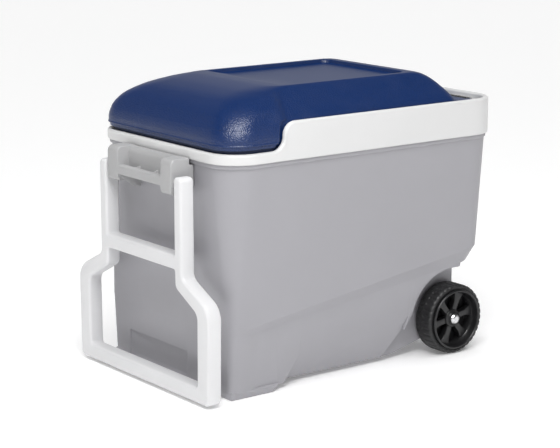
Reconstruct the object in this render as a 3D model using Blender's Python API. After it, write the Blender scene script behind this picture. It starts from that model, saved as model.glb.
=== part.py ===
"""A wheeled hard cooler of about 40 quarts: insulated body, hinged lid, swing-up pull handle and two wheels.

Frame: metres, +Z up. X runs along the cooler, with the pull handle at -X and the wheels at +X. The cooler is
symmetric about Y = 0 but for one grip pocket. The origin is on the floor, below the middle of the whole object.
Left is +Y and right is -Y, as seen by someone who stands at the pull handle and looks at the cooler.
"""

import math

import bmesh
import bpy
from mathutils import Matrix, Vector

# Driving dimensions, in metres, written about the middle of the rim collar.
COLLAR_LENGTH = 0.560
COLLAR_WIDTH = 0.376
COLLAR_CORNER = 0.056
COLLAR_BOTTOM = 0.370
COLLAR_LOW_TOP = 0.3865
COLLAR_HIGH_TOP = 0.430
COLLAR_WALL = 0.0095
DECK_TOP = 0.384
LID_TOP = 0.473
WHEEL_RADIUS = 0.059
WHEEL_WIDTH = 0.042
WHEEL_X = 0.195
WHEEL_OUTER_Y = 0.182
AXLE_RADIUS = 0.005
HANDLE_FRONT = -0.317
HANDLE_DEPTH = 0.026
HANDLE_PIVOT_Z = 0.334
HINGE_X = 0.262
HINGE_Z = 0.418
HINGE_Y = 0.105

TOUCH = 0.0003
RUNNING = 0.00008
SHELL_WALL = 0.0035
LINER_WALL = 0.0025
LID_WALL = 0.003
FOAM_GAP = 0.002

HALF_LENGTH = COLLAR_LENGTH / 2
HALF_WIDTH = COLLAR_WIDTH / 2
HANDLE_BACK = HANDLE_FRONT + HANDLE_DEPTH
# The handle reaches further out than the wheel end does, so the whole object's middle is behind the collar's.
FRAME_SHIFT = Vector(((-HANDLE_FRONT - HALF_LENGTH) / 2, 0, 0))

COLOURS = {
    "body_grey": ((0.46, 0.47, 0.50), 0.42, 0.0),
    "collar_white": ((0.86, 0.86, 0.86), 0.35, 0.0),
    "liner_white": ((0.88, 0.89, 0.90), 0.30, 0.0),
    "foam_cream": ((0.85, 0.80, 0.62), 0.90, 0.0),
    "lid_blue": ((0.015, 0.055, 0.22), 0.38, 0.0),
    "skirt_navy": ((0.010, 0.030, 0.12), 0.45, 0.0),
    "bracket_grey": ((0.40, 0.41, 0.42), 0.45, 0.0),
    "handle_white": ((0.84, 0.84, 0.85), 0.40, 0.0),
    "wheel_black": ((0.012, 0.012, 0.013), 0.45, 0.0),
    "tread_black": ((0.018, 0.018, 0.019), 0.65, 0.0),
    "bush_natural": ((0.70, 0.68, 0.62), 0.40, 0.0),
    "steel": ((0.62, 0.62, 0.63), 0.28, 1.0),
}


def clear_scene():
    for obj in list(bpy.data.objects):
        bpy.data.objects.remove(obj, do_unlink=True)


def material(name):
    found = bpy.data.materials.get(name)
    if found:
        return found
    colour, roughness, metallic = COLOURS[name]
    made = bpy.data.materials.new(name)
    made.use_nodes = True
    shader = made.node_tree.nodes["Principled BSDF"]
    shader.inputs["Base Color"].default_value = (*colour, 1.0)
    shader.inputs["Roughness"].default_value = roughness
    shader.inputs["Metallic"].default_value = metallic
    return made


def mesh_object(name, points, faces, material_name=None):
    """A closed mesh object, with its faces turned outwards."""
    mesh = bpy.data.meshes.new(name)
    mesh.from_pydata([tuple(p) for p in points], [], faces)
    shell = bmesh.new()
    shell.from_mesh(mesh)
    bmesh.ops.recalc_face_normals(shell, faces=shell.faces)
    shell.to_mesh(mesh)
    shell.free()
    obj = bpy.data.objects.new(name, mesh)
    bpy.context.scene.collection.objects.link(obj)
    if material_name:
        mesh.materials.append(material(material_name))
    return obj


def loft(name, rings, material_name=None, mirrored=False):
    """A solid through closed rings of equal point counts, capped at both ends.

    A mirrored ring runs down one side and back up the other, so its caps are strips from side to side.
    """
    count = len(rings[0])
    points = [p for ring in rings for p in ring]
    faces = []
    for start in (0, len(points) - count):
        if mirrored:
            for k in range(count // 2 - 1):
                across = count - 1 - k
                faces.append([start + k, start + k + 1, start + across - 1, start + across])
        else:
            faces.append(list(range(start, start + count)))
    for row in range(len(rings) - 1):
        for k in range(count):
            a = row * count + k
            b = row * count + (k + 1) % count
            faces.append([a, b, b + count, a + count])
    return mesh_object(name, points, faces, material_name)


def prism(name, outline, low, high, axis="Z", material_name=None):
    """An outline pushed along an axis: (x, y) along Z, (x, z) along Y, or (y, z) along X."""
    place = {
        "Z": lambda p, q, at: (p, q, at),
        "Y": lambda p, q, at: (p, at, q),
        "X": lambda p, q, at: (at, p, q),
    }[axis]
    return loft(name, [[place(p, q, at) for p, q in outline] for at in (low, high)], material_name)


def box(name, low, high, material_name=None):
    outline = [(low[0], low[1]), (high[0], low[1]), (high[0], high[1]), (low[0], high[1])]
    return prism(name, outline, low[2], high[2], "Z", material_name)


def arc(centre, radius, start, end, steps):
    """Points on an arc, with angles in degrees."""
    angles = [math.radians(start + (end - start) * k / steps) for k in range(steps + 1)]
    return [(centre[0] + radius * math.cos(a), centre[1] + radius * math.sin(a)) for a in angles]


def circle(centre, radius, count):
    return arc(centre, radius, 0, 360, count)[:-1]


def rounded(corners, steps=3):
    """An outline whose corners, each (x, y, radius), are rounded."""
    outline = []
    count = len(corners)
    for k, (x, y, radius) in enumerate(corners):
        here = Vector((x, y))
        if radius == 0:
            outline.append((x, y))
            continue
        before = (Vector(corners[k - 1][:2]) - here).normalized()
        after = (Vector(corners[(k + 1) % count][:2]) - here).normalized()
        half = before.angle(after) / 2
        centre = here + (before + after).normalized() * radius / math.sin(half)
        start = (here + before * radius / math.tan(half) - centre).normalized()
        end = (here + after * radius / math.tan(half) - centre).normalized()
        for step in range(steps + 1):
            outline.append(tuple(centre + start.slerp(end, step / steps).normalized() * radius))
    return outline


def rounded_box_outline(x_low, x_high, half_y, radius, steps=6):
    return rounded(
        [(x_high, half_y, radius), (x_low, half_y, radius), (x_low, -half_y, radius), (x_high, -half_y, radius)],
        steps,
    )


def tub_ring(x_low, x_high, half_width, front_radius, rear_radius, height, stations, steps=5):
    """One ring of a tub: rounded ends, and sides that pass through x stations. Width and height may vary with x."""
    middle = [x for x in stations if x_low + front_radius < x < x_high - rear_radius]
    assert len(middle) == len(stations), "every station lies between the corners"
    front = arc((x_low + front_radius, 0), front_radius, 90, 180, steps)
    rear = arc((x_high - rear_radius, 0), rear_radius, 0, 90, steps)
    upper = []
    for x, rise in rear:
        upper.append((x, half_width(x) - rear_radius + rise))
    for x in reversed(middle):
        upper.append((x, half_width(x)))
    for x, rise in front:
        upper.append((x, half_width(x) - front_radius + rise))
    lower = [(x, -y) for x, y in reversed(upper)]
    return [(x, y, height(x)) for x, y in upper + lower]


def rod(name, centre, radius, low, high, count=32, material_name=None):
    """A round bar along Y about the point (x, z)."""
    return prism(name, circle(centre, radius, count), low, high, "Y", material_name)


def turned(name, profile, count, material_name=None):
    """A ring turned about Y through the world origin. The profile is a closed outline of (radius, y)."""
    rings = []
    for k in range(count):
        angle = 2 * math.pi * k / count
        rings.append([(r * math.cos(angle), y, r * math.sin(angle)) for r, y in profile])
    size = len(profile)
    points = [p for ring in rings for p in ring]
    faces = []
    for k in range(count):
        for j in range(size):
            a = k * size + j
            b = k * size + (j + 1) % size
            c = ((k + 1) % count) * size
            faces.append([a, b, c + (j + 1) % size, c + j])
    return mesh_object(name, points, faces, material_name)


def bake(obj):
    """Replaces an object's mesh with its evaluated one, and clears its modifiers."""
    graph = bpy.context.evaluated_depsgraph_get()
    graph.update()
    mesh = bpy.data.meshes.new_from_object(obj.evaluated_get(graph))
    obj.modifiers.clear()
    obj.data = mesh
    return obj


def combine(obj, others, operation):
    """Cuts the other objects from this one, or joins them to it, and removes them."""
    for other in others:
        modifier = obj.modifiers.new(operation.lower(), "BOOLEAN")
        modifier.operation = operation
        modifier.object = other
        bake(obj)
        bpy.data.objects.remove(other, do_unlink=True)
    return obj


def cut(obj, *others):
    return combine(obj, others, "DIFFERENCE")


def join(obj, *others):
    return combine(obj, others, "UNION")


def chamfer(obj, width, angle=40):
    modifier = obj.modifiers.new("chamfer", "BEVEL")
    modifier.width = width
    modifier.segments = 1
    modifier.limit_method = "ANGLE"
    modifier.angle_limit = math.radians(angle)
    return bake(obj)


def smooth(obj, angle=35):
    obj.data.shade_smooth()
    obj.data.set_sharp_from_angle(angle=math.radians(angle))
    return obj


def ramp(x, low, high):
    """0 below low, 1 above high, with a smooth step between them."""
    t = min(max((x - low) / (high - low), 0), 1)
    return t * t * (3 - 2 * t)


# ---------------------------------------------------------------- screws

SCREW_HEAD = 0.0036
SCREW_HEAD_HEIGHT = 0.0018
SCREW_SHANK = 0.0016
BRACKET_SCREW_LENGTH = 0.0240
HINGE_SCREW_LENGTH = 0.0058
SCREW_SPOTS = [(y, 0.3345) for y in (-0.046, -0.016, 0.016, 0.046)]


def screw(name, place, length, axis="X", grow=0.0):
    """A pan-head screw along +X or +Z, whose head's outer face is at the place given."""
    profile = [
        (-grow, SCREW_HEAD - 0.0008), (0.0006, SCREW_HEAD), (SCREW_HEAD_HEIGHT, SCREW_HEAD),
        (SCREW_HEAD_HEIGHT + grow, SCREW_SHANK), (length + grow, SCREW_SHANK),
    ]
    rings = []
    for along, radius in profile:
        ring = []
        for p, q in circle((0, 0), radius + grow, 8):
            offset = Vector((along, p, q)) if axis == "X" else Vector((q, p, along))
            ring.append(tuple(Vector(place) + offset))
        rings.append(ring)
    return loft(name, rings, "steel")


def bracket_screw_place(spot):
    return (RECESS_WALL - SCREW_HEAD_HEIGHT - TOUCH, spot[0], spot[1])


def bracket_screws():
    """Four screws that hold the bracket to the body's end wall."""
    made = []
    for number, spot in enumerate(SCREW_SPOTS, 1):
        made.append(screw(f"bracket_screw_{number}", bracket_screw_place(spot), BRACKET_SCREW_LENGTH))
    return [smooth(piece) for piece in made]


# ---------------------------------------------------------------- body

BODY_TOP = COLLAR_BOTTOM - TOUCH
BODY_LIP_BOTTOM = 0.3635
BODY_TOP_INSET = 0.007
BODY_LIP_INSET = 0.0035
SHOULDER_HEIGHT = 0.144
SHOULDER_SLOPE = 0.14
STRIPE_HEIGHT = 0.126
STRIPE_SLOPE = 0.115
UNDERSIDE = 0.008
UNDERSIDE_RISE_FROM = 0.086
UNDERSIDE_RISE = 0.24
PINCH = 0.0065
PINCH_FROM = (-0.247, -0.190)
LOWER_END = -0.2620
STRIPE_CORNER = 0.014
SHOULDER_CORNER = 0.016
BODY_REAR_BLOCK = 0.221
WELL_INNER_Y = 0.1372
WELL_RADIUS = 0.086
WELL_FRONT_FOOT = (0.052, -0.008)
BODY_STATIONS = (-0.19, -0.10, 0.0, UNDERSIDE_RISE_FROM, 0.15)


def underside(x, above=0.0):
    return UNDERSIDE + above + max(0.0, x - UNDERSIDE_RISE_FROM) * UNDERSIDE_RISE


def shoulder(x):
    """Height of the edge where the body's side meets the slanting chamfer below it."""
    return SHOULDER_HEIGHT + SHOULDER_SLOPE * x


def body_outer():
    """The body's outside: a drafted tub over a lower part that a slanting chamfer sets back."""

    def lower_width(width):
        return lambda x: width - PINCH * ramp(x, *PINCH_FROM)

    top = BODY_TOP_INSET
    lip = BODY_LIP_INSET
    rings = []
    lower_rings = (
        (LOWER_END, 0.014, 0.010, 0.168, underside),
        (-0.2635, STRIPE_CORNER, 0.012, 0.1715, lambda x: STRIPE_HEIGHT - 0.001 + STRIPE_SLOPE * x),
    )
    for x_low, front, rear, width, height in lower_rings:
        rings.append(
            tub_ring(x_low, BODY_REAR_BLOCK, lower_width(width), front, rear, height, BODY_STATIONS)
        )
    stripe = (-0.2635, 0.243, STRIPE_CORNER, 0.030, 0.1715)
    rings.append(
        tub_ring(
            stripe[0], stripe[1], lower_width(stripe[4]), stripe[2], stripe[3],
            lambda x: STRIPE_HEIGHT + STRIPE_SLOPE * x, BODY_STATIONS,
        )
    )
    rings.append(tub_ring(-0.264, 0.257, lambda x: 0.1735, SHOULDER_CORNER, 0.032, shoulder, BODY_STATIONS))
    for x_high, inset, radius, height in (
        (HALF_LENGTH - 0.005, top, 0.050, BODY_LIP_BOTTOM - 0.001),
        (HALF_LENGTH - lip, lip, 0.0525, BODY_LIP_BOTTOM),
        (HALF_LENGTH - lip, lip, 0.0525, BODY_TOP),
    ):
        rings.append(
            tub_ring(
                inset - HALF_LENGTH, x_high, lambda x, i=inset: HALF_WIDTH - i, radius, radius,
                lambda x, z=height: z, BODY_STATIONS,
            )
        )
    return loft("body_shell", rings, "body_grey", mirrored=True)


def body_cavity(name, inset=0.0, top=COLLAR_BOTTOM + 0.01, material_name=None):
    """The space inside the body shell. The foam is the same shape, drawn in by an inset."""
    rings = []
    narrow = WELL_INNER_Y - 0.005 - inset
    x_high = BODY_REAR_BLOCK - 0.005 - inset
    for height in (
        lambda x: underside(x, 0.004 + inset),
        lambda x: shoulder(x) + 0.003 + inset,
    ):
        rings.append(
            tub_ring(-0.246 + inset, x_high, lambda x: narrow, 0.008, 0.008, height, BODY_STATIONS)
        )
    wall = SHELL_WALL + inset
    rings.append(
        tub_ring(
            -0.264 + wall, 0.257 - wall, lambda x: 0.1735 - wall, SHOULDER_CORNER - SHELL_WALL, 0.029,
            lambda x: shoulder(x) + 0.004 + inset, BODY_STATIONS,
        )
    )
    half_y = HALF_WIDTH - BODY_TOP_INSET - wall
    for height in (BODY_LIP_BOTTOM - 0.001, top):
        rings.append(
            tub_ring(
                BODY_TOP_INSET - HALF_LENGTH + wall, HALF_LENGTH - 0.005 - wall, lambda x: half_y,
                0.0465, 0.0465, lambda x, z=height: z, BODY_STATIONS,
            )
        )
    return loft(name, rings, material_name, mirrored=True)


def hull(name, points):
    """The convex solid around some points."""
    shape = bmesh.new()
    for point in points:
        shape.verts.new(point)
    made = bmesh.ops.convex_hull(shape, input=shape.verts)
    loose = {e for e in made["geom_interior"] + made["geom_unused"] if isinstance(e, bmesh.types.BMVert)}
    bmesh.ops.delete(shape, geom=list(loose), context="VERTS")
    bmesh.ops.recalc_face_normals(shape, faces=shape.faces)
    mesh = bpy.data.meshes.new(name)
    shape.to_mesh(mesh)
    shape.free()
    obj = bpy.data.objects.new(name, mesh)
    bpy.context.scene.collection.objects.link(obj)
    return obj


def wheel_well(side):
    """The space a wheel turns in: an arch in front of it, and open behind it."""
    outline = arc((WHEEL_X, WHEEL_RADIUS), WELL_RADIUS, 90, 166, 8)
    outline += [WELL_FRONT_FOOT, (0.30, WELL_FRONT_FOOT[1]), (0.30, WHEEL_RADIUS + WELL_RADIUS)]
    low, high = sorted((side * WELL_INNER_Y, side * 0.25))
    return prism("well", outline, low, high, "Y")


def side_undercut(side):
    """The sloping facet low on the side, between the front foot and the wheel well."""
    edge = 0.1635
    outside = 0.23
    inner = WELL_INNER_Y - 0.0004
    below = -0.004
    points = [
        (-0.124, edge, 0.0544), (0.1015, edge, 0.0779), (-0.124, outside, 0.070), (0.1015, outside, 0.095),
        (-0.160, inner, below), (0.078, inner, below), (-0.170, outside, below), (0.060, outside, below),
    ]
    return hull("undercut", [(x, side * y, z) for x, y, z in points])


def grip_pocket():
    """The grip pocket low in the end face, with sides that slope inwards. It sits left of the middle."""
    outer = [(-0.048, 0.012), (0.116, 0.012), (0.116, 0.055), (-0.048, 0.055)]
    inner = [(-0.045, 0.015), (0.098, 0.015), (0.106, 0.052), (-0.045, 0.052)]
    rings = [[(x, y, z) for y, z in ring] for x, ring in ((-0.275, outer), (-0.2608, outer), (-0.2565, inner))]
    return loft("pocket", rings)


def foot(side):
    """One of the two feet at the handle end, with a sloping back."""
    low, high = sorted((side * 0.125, side * 0.1665))
    front = LOWER_END + 0.001
    outline = [(front, 0.0), (-0.181, 0.0), (-0.166, 0.0120), (front, 0.0120)]
    return prism("foot", outline, low, high, "Y")


def body_shell():
    shell = body_outer()
    join(shell, foot(1), foot(-1))
    cut(shell, wheel_well(1), wheel_well(-1), side_undercut(1), side_undercut(-1), grip_pocket())
    cut(shell, body_cavity("cavity"))
    cut(shell, rod("axle_way", (WHEEL_X, WHEEL_RADIUS), AXLE_RADIUS + TOUCH, -0.25, 0.25))
    for spot in SCREW_SPOTS:
        cut(shell, screw("hole", bracket_screw_place(spot), BRACKET_SCREW_LENGTH, grow=TOUCH / 2))
    return smooth(shell)


LINER_FLOOR = 0.076
LINER_TOP = (-0.2385, 0.2385, 0.1505, 0.040)
LINER_BOTTOM = (-0.222, 0.199, 0.120, 0.030)
FLANGE_BOTTOM = BODY_TOP - LINER_WALL


def liner_solid(name, offset, low, high, material_name=None):
    """The tapering tub shape of the liner, grown by an offset, between two heights."""
    rings = []
    for height in (low, high):
        t = (height - LINER_FLOOR) / (DECK_TOP - LINER_FLOOR)
        ends = [a + (b - a) * t for a, b in zip(LINER_BOTTOM, LINER_TOP)]
        outline = rounded_box_outline(ends[0] - offset, ends[1] + offset, ends[2] + offset, ends[3] + offset)
        rings.append([(x, y, height) for x, y in outline])
    return loft(name, rings, material_name)


def inner_liner():
    liner = liner_solid("inner_liner", 0, LINER_FLOOR, DECK_TOP - TOUCH, "liner_white")
    flange = prism("flange", rounded_box_outline(-0.252, 0.252, 0.163, 0.048), FLANGE_BOTTOM, BODY_TOP)
    join(liner, flange)
    cut(liner, liner_solid("hollow", -LINER_WALL, LINER_FLOOR + LINER_WALL, DECK_TOP + 0.01))
    return smooth(liner)


def body_foam():
    foam = body_cavity("body_foam", TOUCH, FLANGE_BOTTOM - TOUCH, "foam_cream")
    cut(foam, liner_solid("hollow", TOUCH, LINER_FLOOR - TOUCH, DECK_TOP))
    cut(foam, rod("axle_way", (WHEEL_X, WHEEL_RADIUS), AXLE_RADIUS + TOUCH, -0.25, 0.25))
    return foam


# ---------------------------------------------------------------- collar

STEP_LOW_X = -0.197
STEP_HIGH_X = -0.150


def step_profile(clearance=0.0):
    """Side view of the space above the collar's low front part, back to the S-shaped rise of its side walls."""
    middle_z = (COLLAR_LOW_TOP + COLLAR_HIGH_TOP) / 2
    middle_x = (STEP_LOW_X + STEP_HIGH_X) / 2
    radius = (COLLAR_HIGH_TOP - COLLAR_LOW_TOP) / 2
    low = arc((middle_x - radius, COLLAR_LOW_TOP + radius), radius, 270, 360, 6)
    high = arc((middle_x + radius, COLLAR_HIGH_TOP - radius), radius, 180, 90, 6)
    assert abs(low[-1][1] - middle_z) < TOUCH
    curve = low + high[1:]
    outline = [(x - clearance, z + clearance) for x, z in curve]
    top = COLLAR_HIGH_TOP + 0.02
    return [(-0.31, COLLAR_LOW_TOP + clearance)] + outline + [(STEP_HIGH_X + 0.01, top), (-0.31, top)]


def collar_ring(name, grow=0.0, material_name=None):
    """The raised wall round the rim, low at the front."""
    outer = rounded_box_outline(-HALF_LENGTH - grow, HALF_LENGTH + grow, HALF_WIDTH + grow, COLLAR_CORNER + grow)
    return prism(name, outer, COLLAR_BOTTOM, COLLAR_HIGH_TOP, "Z", material_name)


def collar_inside(name, shrink, low):
    inset = COLLAR_WALL + shrink
    outline = rounded_box_outline(-HALF_LENGTH + inset, HALF_LENGTH - inset, HALF_WIDTH - inset, COLLAR_CORNER - inset)
    return prism(name, outline, low, COLLAR_HIGH_TOP + 0.03)


def rim_collar():
    collar = collar_ring("rim_collar", 0, "collar_white")
    cut(collar, collar_inside("inside", 0, DECK_TOP))
    cut(collar, prism("step", step_profile(), -0.25, 0.25, "Y"))
    cut(collar, liner_solid("mouth", TOUCH, COLLAR_BOTTOM - 0.01, DECK_TOP + 0.01))
    for side in (1, -1):
        cut(collar, *hinge_screws("body", "hole", side, body_leaf_screw_place, "X", TOUCH / 2))
    return smooth(collar)


# ---------------------------------------------------------------- lid

LID_BOTTOM = 0.3915
LID_STATION_FRACTIONS = (0.12, 0.24, 0.36, 0.60, 0.80)
TRAY_FLOOR = 0.467
TRAY = (-0.125, 0.140, 0.105, 0.016)
FLANGE_REAR = 0.2655
# The flange's rear corners are cut back so that they clear the collar's own corners as the lid opens.
FLANGE_REAR_CORNER = 0.075
CROWN_REAR_CORNER = 0.026
SHOULDER_END = (-0.185, -0.125)
HOLLOW_TOP = 0.4660
# Height, front end, rear end, half width behind the shoulders, half width at the shoulders, corner radius.
LID_LEVELS = (
    (LID_BOTTOM, -0.2740, FLANGE_REAR, 0.1760, 0.1820, 0.046),
    (0.3960, -0.2765, FLANGE_REAR, 0.1760, 0.1842, 0.048),
    (0.4080, -0.2765, FLANGE_REAR, 0.1760, 0.1835, 0.048),
    (0.4215, -0.2715, FLANGE_REAR, 0.1760, 0.1790, 0.046),
    (0.4217, -0.2714, 0.2045, 0.1755, 0.1789, 0.040),
    (0.4310, -0.2660, 0.1988, 0.1750, 0.1750, 0.042),
    (0.4410, -0.2580, 0.1942, 0.1620, 0.1690, 0.044),
    (0.4500, -0.2460, 0.1888, 0.1500, 0.1590, 0.046),
    (0.4585, -0.2270, 0.1822, 0.1385, 0.1470, 0.048),
    (0.4650, -0.2020, 0.1752, 0.1290, 0.1350, 0.048),
    (0.4700, -0.1700, 0.1655, 0.1210, 0.1240, 0.040),
    (LID_TOP, -0.1420, 0.1530, 0.1130, 0.1130, 0.030),
)


def lid_solid(name, shrink=0.0, low=LID_BOTTOM, material_name=None, shoulders=True):
    """The lid's outer shape as level rings, or the space inside it when drawn in by a shrink."""
    top = LID_TOP if shrink == 0 else TRAY_FLOOR - LID_WALL
    rings = []
    for height, front, rear, width, shoulder_width, radius in LID_LEVELS:
        z = height - shrink if height > LID_BOTTOM else low
        if z > top or (shrink and height > HOLLOW_TOP):
            break
        if rings and z < low + LID_WALL / 2:
            continue
        wide = (shoulder_width if shoulders else width) - shrink
        narrow = width - shrink

        def half_width(x, wide=wide, narrow=narrow):
            return wide + (narrow - wide) * ramp(x, *SHOULDER_END)

        corner = radius - shrink
        rear_corner = (FLANGE_REAR_CORNER if rear == FLANGE_REAR else CROWN_REAR_CORNER) - shrink
        start = front + shrink + corner
        straight = rear - shrink - rear_corner - start
        stations = [start + straight * fraction for fraction in LID_STATION_FRACTIONS]
        rings.append(
            tub_ring(front + shrink, rear - shrink, half_width, corner, rear_corner, lambda x, z=z: z, stations)
        )
    return loft(name, rings, material_name, mirrored=True)


def hinge_notch(side, clearance=0.001):
    """Room for one hinge at the rear edge of the lid."""
    half = HINGE_HALF + clearance + 0.001
    low = (NOTCH_FRONT, side * HINGE_Y - half, COLLAR_BOTTOM)
    return box("notch", low, (HALF_LENGTH, side * HINGE_Y + half, NOTCH_TOP))


def lid_shell():
    lid = lid_solid("lid_shell", material_name="lid_blue")
    tray = prism("tray", rounded_box_outline(*TRAY), TRAY_FLOOR, LID_TOP + 0.01)
    cut(lid, tray)
    cut(lid, lid_solid("hollow", LID_WALL, LID_BOTTOM - 0.01))
    wall = collar_ring("wall", 0.01)
    cut(wall, collar_inside("inside", 0.0012, COLLAR_BOTTOM - 0.01))
    cut(wall, prism("step", step_profile(0.0015), -0.25, 0.25, "Y"))
    cut(lid, wall)
    cut(lid, hinge_notch(1), hinge_notch(-1))
    for side in (1, -1):
        cut(lid, *hinge_screws("lid", "hole", side, lid_leaf_screw_place, "Z", TOUCH / 2))
    return smooth(lid)


PAN_BOTTOM = 0.3855
PAN_TOP = 0.3912
PAN_GAP = 0.0015
PLUG_BOTTOM = 0.3720
PLUG = (-0.230, 0.225, 0.1415, 0.034)
PLUG_WALL = 0.004
FOAM_REAR = 0.2320


def lid_liner():
    """The pan under the lid: its rim is the dark band between nose and collar, and a plug enters the liner's mouth."""
    inset = COLLAR_WALL + PAN_GAP
    outline = rounded_box_outline(-HALF_LENGTH + inset, FLANGE_REAR, HALF_WIDTH - inset, COLLAR_CORNER - inset)
    pan = prism("lid_liner", outline, PAN_BOTTOM, PAN_TOP, "Z", "skirt_navy")
    join(pan, prism("plug", rounded_box_outline(*PLUG), PLUG_BOTTOM, PAN_TOP - 0.001))
    front, rear, half, corner = PLUG
    inside = rounded_box_outline(front + PLUG_WALL, rear - PLUG_WALL, half - PLUG_WALL, corner - PLUG_WALL)
    cut(pan, prism("recess", inside, PLUG_BOTTOM + LID_WALL, PAN_TOP + 0.01))
    cut(pan, hinge_notch(1, 0.0), hinge_notch(-1, 0.0))
    return smooth(pan)


def lid_foam():
    foam = lid_solid("lid_foam", LID_WALL + FOAM_GAP, PAN_TOP + TOUCH, "foam_cream", shoulders=False)
    # The hinge leaves and their screws stand behind this line.
    return cut(foam, box("rear", (FOAM_REAR, -HALF_WIDTH, PAN_BOTTOM), (HALF_LENGTH, HALF_WIDTH, COLLAR_HIGH_TOP)))


# ---------------------------------------------------------------- lid hinges

HINGE_BARREL = 0.0044
HINGE_PIN = 0.0022
HINGE_HALF = 0.025
HINGE_SCREW_OFFSET = 0.017
LEAF = 0.0018
WALL_FACE = HALF_LENGTH - COLLAR_WALL - TOUCH
# A little above the barrel's tangent, so that the tongue cuts cleanly into the knuckle.
FLAP_BOTTOM = HINGE_Z - HINGE_BARREL + 0.0004
FLAP_FRONT = 0.2330
FLAP_REAR = 0.2555
TONGUE_FRONT = 0.2525
PLATE_BOTTOM = 0.3895
BODY_LEAF_SCREW_Z = 0.3985
LID_LEAF_SCREW_X = 0.2430
NOTCH_FRONT = 0.2515
NOTCH_TOP = 0.4260


def body_leaf_screw_place(middle, offset):
    return (WALL_FACE - LEAF - SCREW_HEAD_HEIGHT - TOUCH, middle + offset, BODY_LEAF_SCREW_Z)


def lid_leaf_screw_place(middle, offset):
    return (LID_LEAF_SCREW_X, middle + offset, FLAP_BOTTOM - SCREW_HEAD_HEIGHT - TOUCH)


def hinge_screws(kind, side_name, side, place, axis, grow=0.0):
    """The two screws of one leaf, or the holes for them."""
    made = []
    for number, offset in enumerate((-HINGE_SCREW_OFFSET, HINGE_SCREW_OFFSET), 1):
        name = f"hinge_{kind}_screw_{side_name}_{number}"
        made.append(screw(name, place(side * HINGE_Y, offset), HINGE_SCREW_LENGTH, axis, grow))
    return made


def body_leaf(side_name, side):
    """The leaf on the collar's end wall, with the outer two knuckles."""
    low, high = side * HINGE_Y - HINGE_HALF, side * HINGE_Y + HINGE_HALF
    third = HINGE_HALF / 3
    reach = HINGE_BARREL + TOUCH
    leaf = rod(f"hinge_body_leaf_{side_name}", (HINGE_X, HINGE_Z), HINGE_BARREL, low, high, 16, "steel")
    plate = box("plate", (WALL_FACE - LEAF, low, PLATE_BOTTOM), (WALL_FACE, high, HINGE_Z))
    web = box("web", (HINGE_X, low, HINGE_Z - 0.003), (WALL_FACE, high, HINGE_Z))
    join(leaf, plate, web)
    gap_low = (HINGE_X - reach, side * HINGE_Y - third, HINGE_Z - reach - 0.002)
    gap_high = (HINGE_X + reach, side * HINGE_Y + third, HINGE_Z + reach)
    cut(leaf, box("gap", gap_low, gap_high))
    cut(leaf, rod("bore", (HINGE_X, HINGE_Z), HINGE_PIN + RUNNING, low - 0.01, high + 0.01, 16))
    cut(leaf, *hinge_screws("body", side_name, side, body_leaf_screw_place, "X", TOUCH / 2))
    return smooth(leaf)


def lid_leaf(side_name, side):
    """The leaf under the lid's rear edge, with the middle knuckle."""
    low, high = side * HINGE_Y - HINGE_HALF, side * HINGE_Y + HINGE_HALF
    third = HINGE_HALF / 3 - TOUCH
    knuckle = (side * HINGE_Y - third, side * HINGE_Y + third)
    leaf = rod(f"hinge_lid_leaf_{side_name}", (HINGE_X, HINGE_Z), HINGE_BARREL, *knuckle, 16, "steel")
    tongue = box("tongue", (TONGUE_FRONT, knuckle[0], FLAP_BOTTOM), (HINGE_X, knuckle[1], FLAP_BOTTOM + LEAF))
    flap = box("flap", (FLAP_FRONT, low, FLAP_BOTTOM), (FLAP_REAR, high, FLAP_BOTTOM + LEAF))
    join(leaf, tongue, flap)
    cut(leaf, rod("bore", (HINGE_X, HINGE_Z), HINGE_PIN + RUNNING, low - 0.01, high + 0.01, 16))
    cut(leaf, *hinge_screws("lid", side_name, side, lid_leaf_screw_place, "Z", TOUCH / 2))
    return smooth(leaf)


def hinge_pin(side_name, side):
    reach = HINGE_HALF + 0.0005
    low, high = side * HINGE_Y - reach, side * HINGE_Y + reach
    return smooth(rod(f"hinge_pin_{side_name}", (HINGE_X, HINGE_Z), HINGE_PIN, low, high, 16, "steel"))


# ---------------------------------------------------------------- carrying bracket

BRACKET_BACK = -0.2736
BRACKET_TOP = 0.373
BRACKET_BOTTOM = 0.318
EAR_INNER = 0.061
EAR_OUTER = 0.090
RECESS_WALL = -0.2950
BAR_BACK = -0.303
BAR_LOW = 0.329
BAR_HIGH = 0.344
PIN_X = (HANDLE_FRONT + HANDLE_BACK) / 2
PIN_RADIUS = 0.005
PIN_DEPTH_IN_EAR = 0.024
PIN_DEPTH_IN_ARM = 0.015
ARM_INNER = 0.096
ARM_OUTER = 0.116


def ear_outline(front, top, bottom):
    """Side view of one ear, cut back under the collar and the body's lip."""
    return rounded(
        [
            (BRACKET_BACK, bottom + 0.010, 0), (BRACKET_BACK, 0.3615, 0), (-0.2815, 0.3615, 0),
            (-0.2815, top, 0.002), (front, top, 0.010), (front, bottom, 0.006), (BRACKET_BACK - 0.012, bottom, 0),
        ],
        4,
    )


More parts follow.
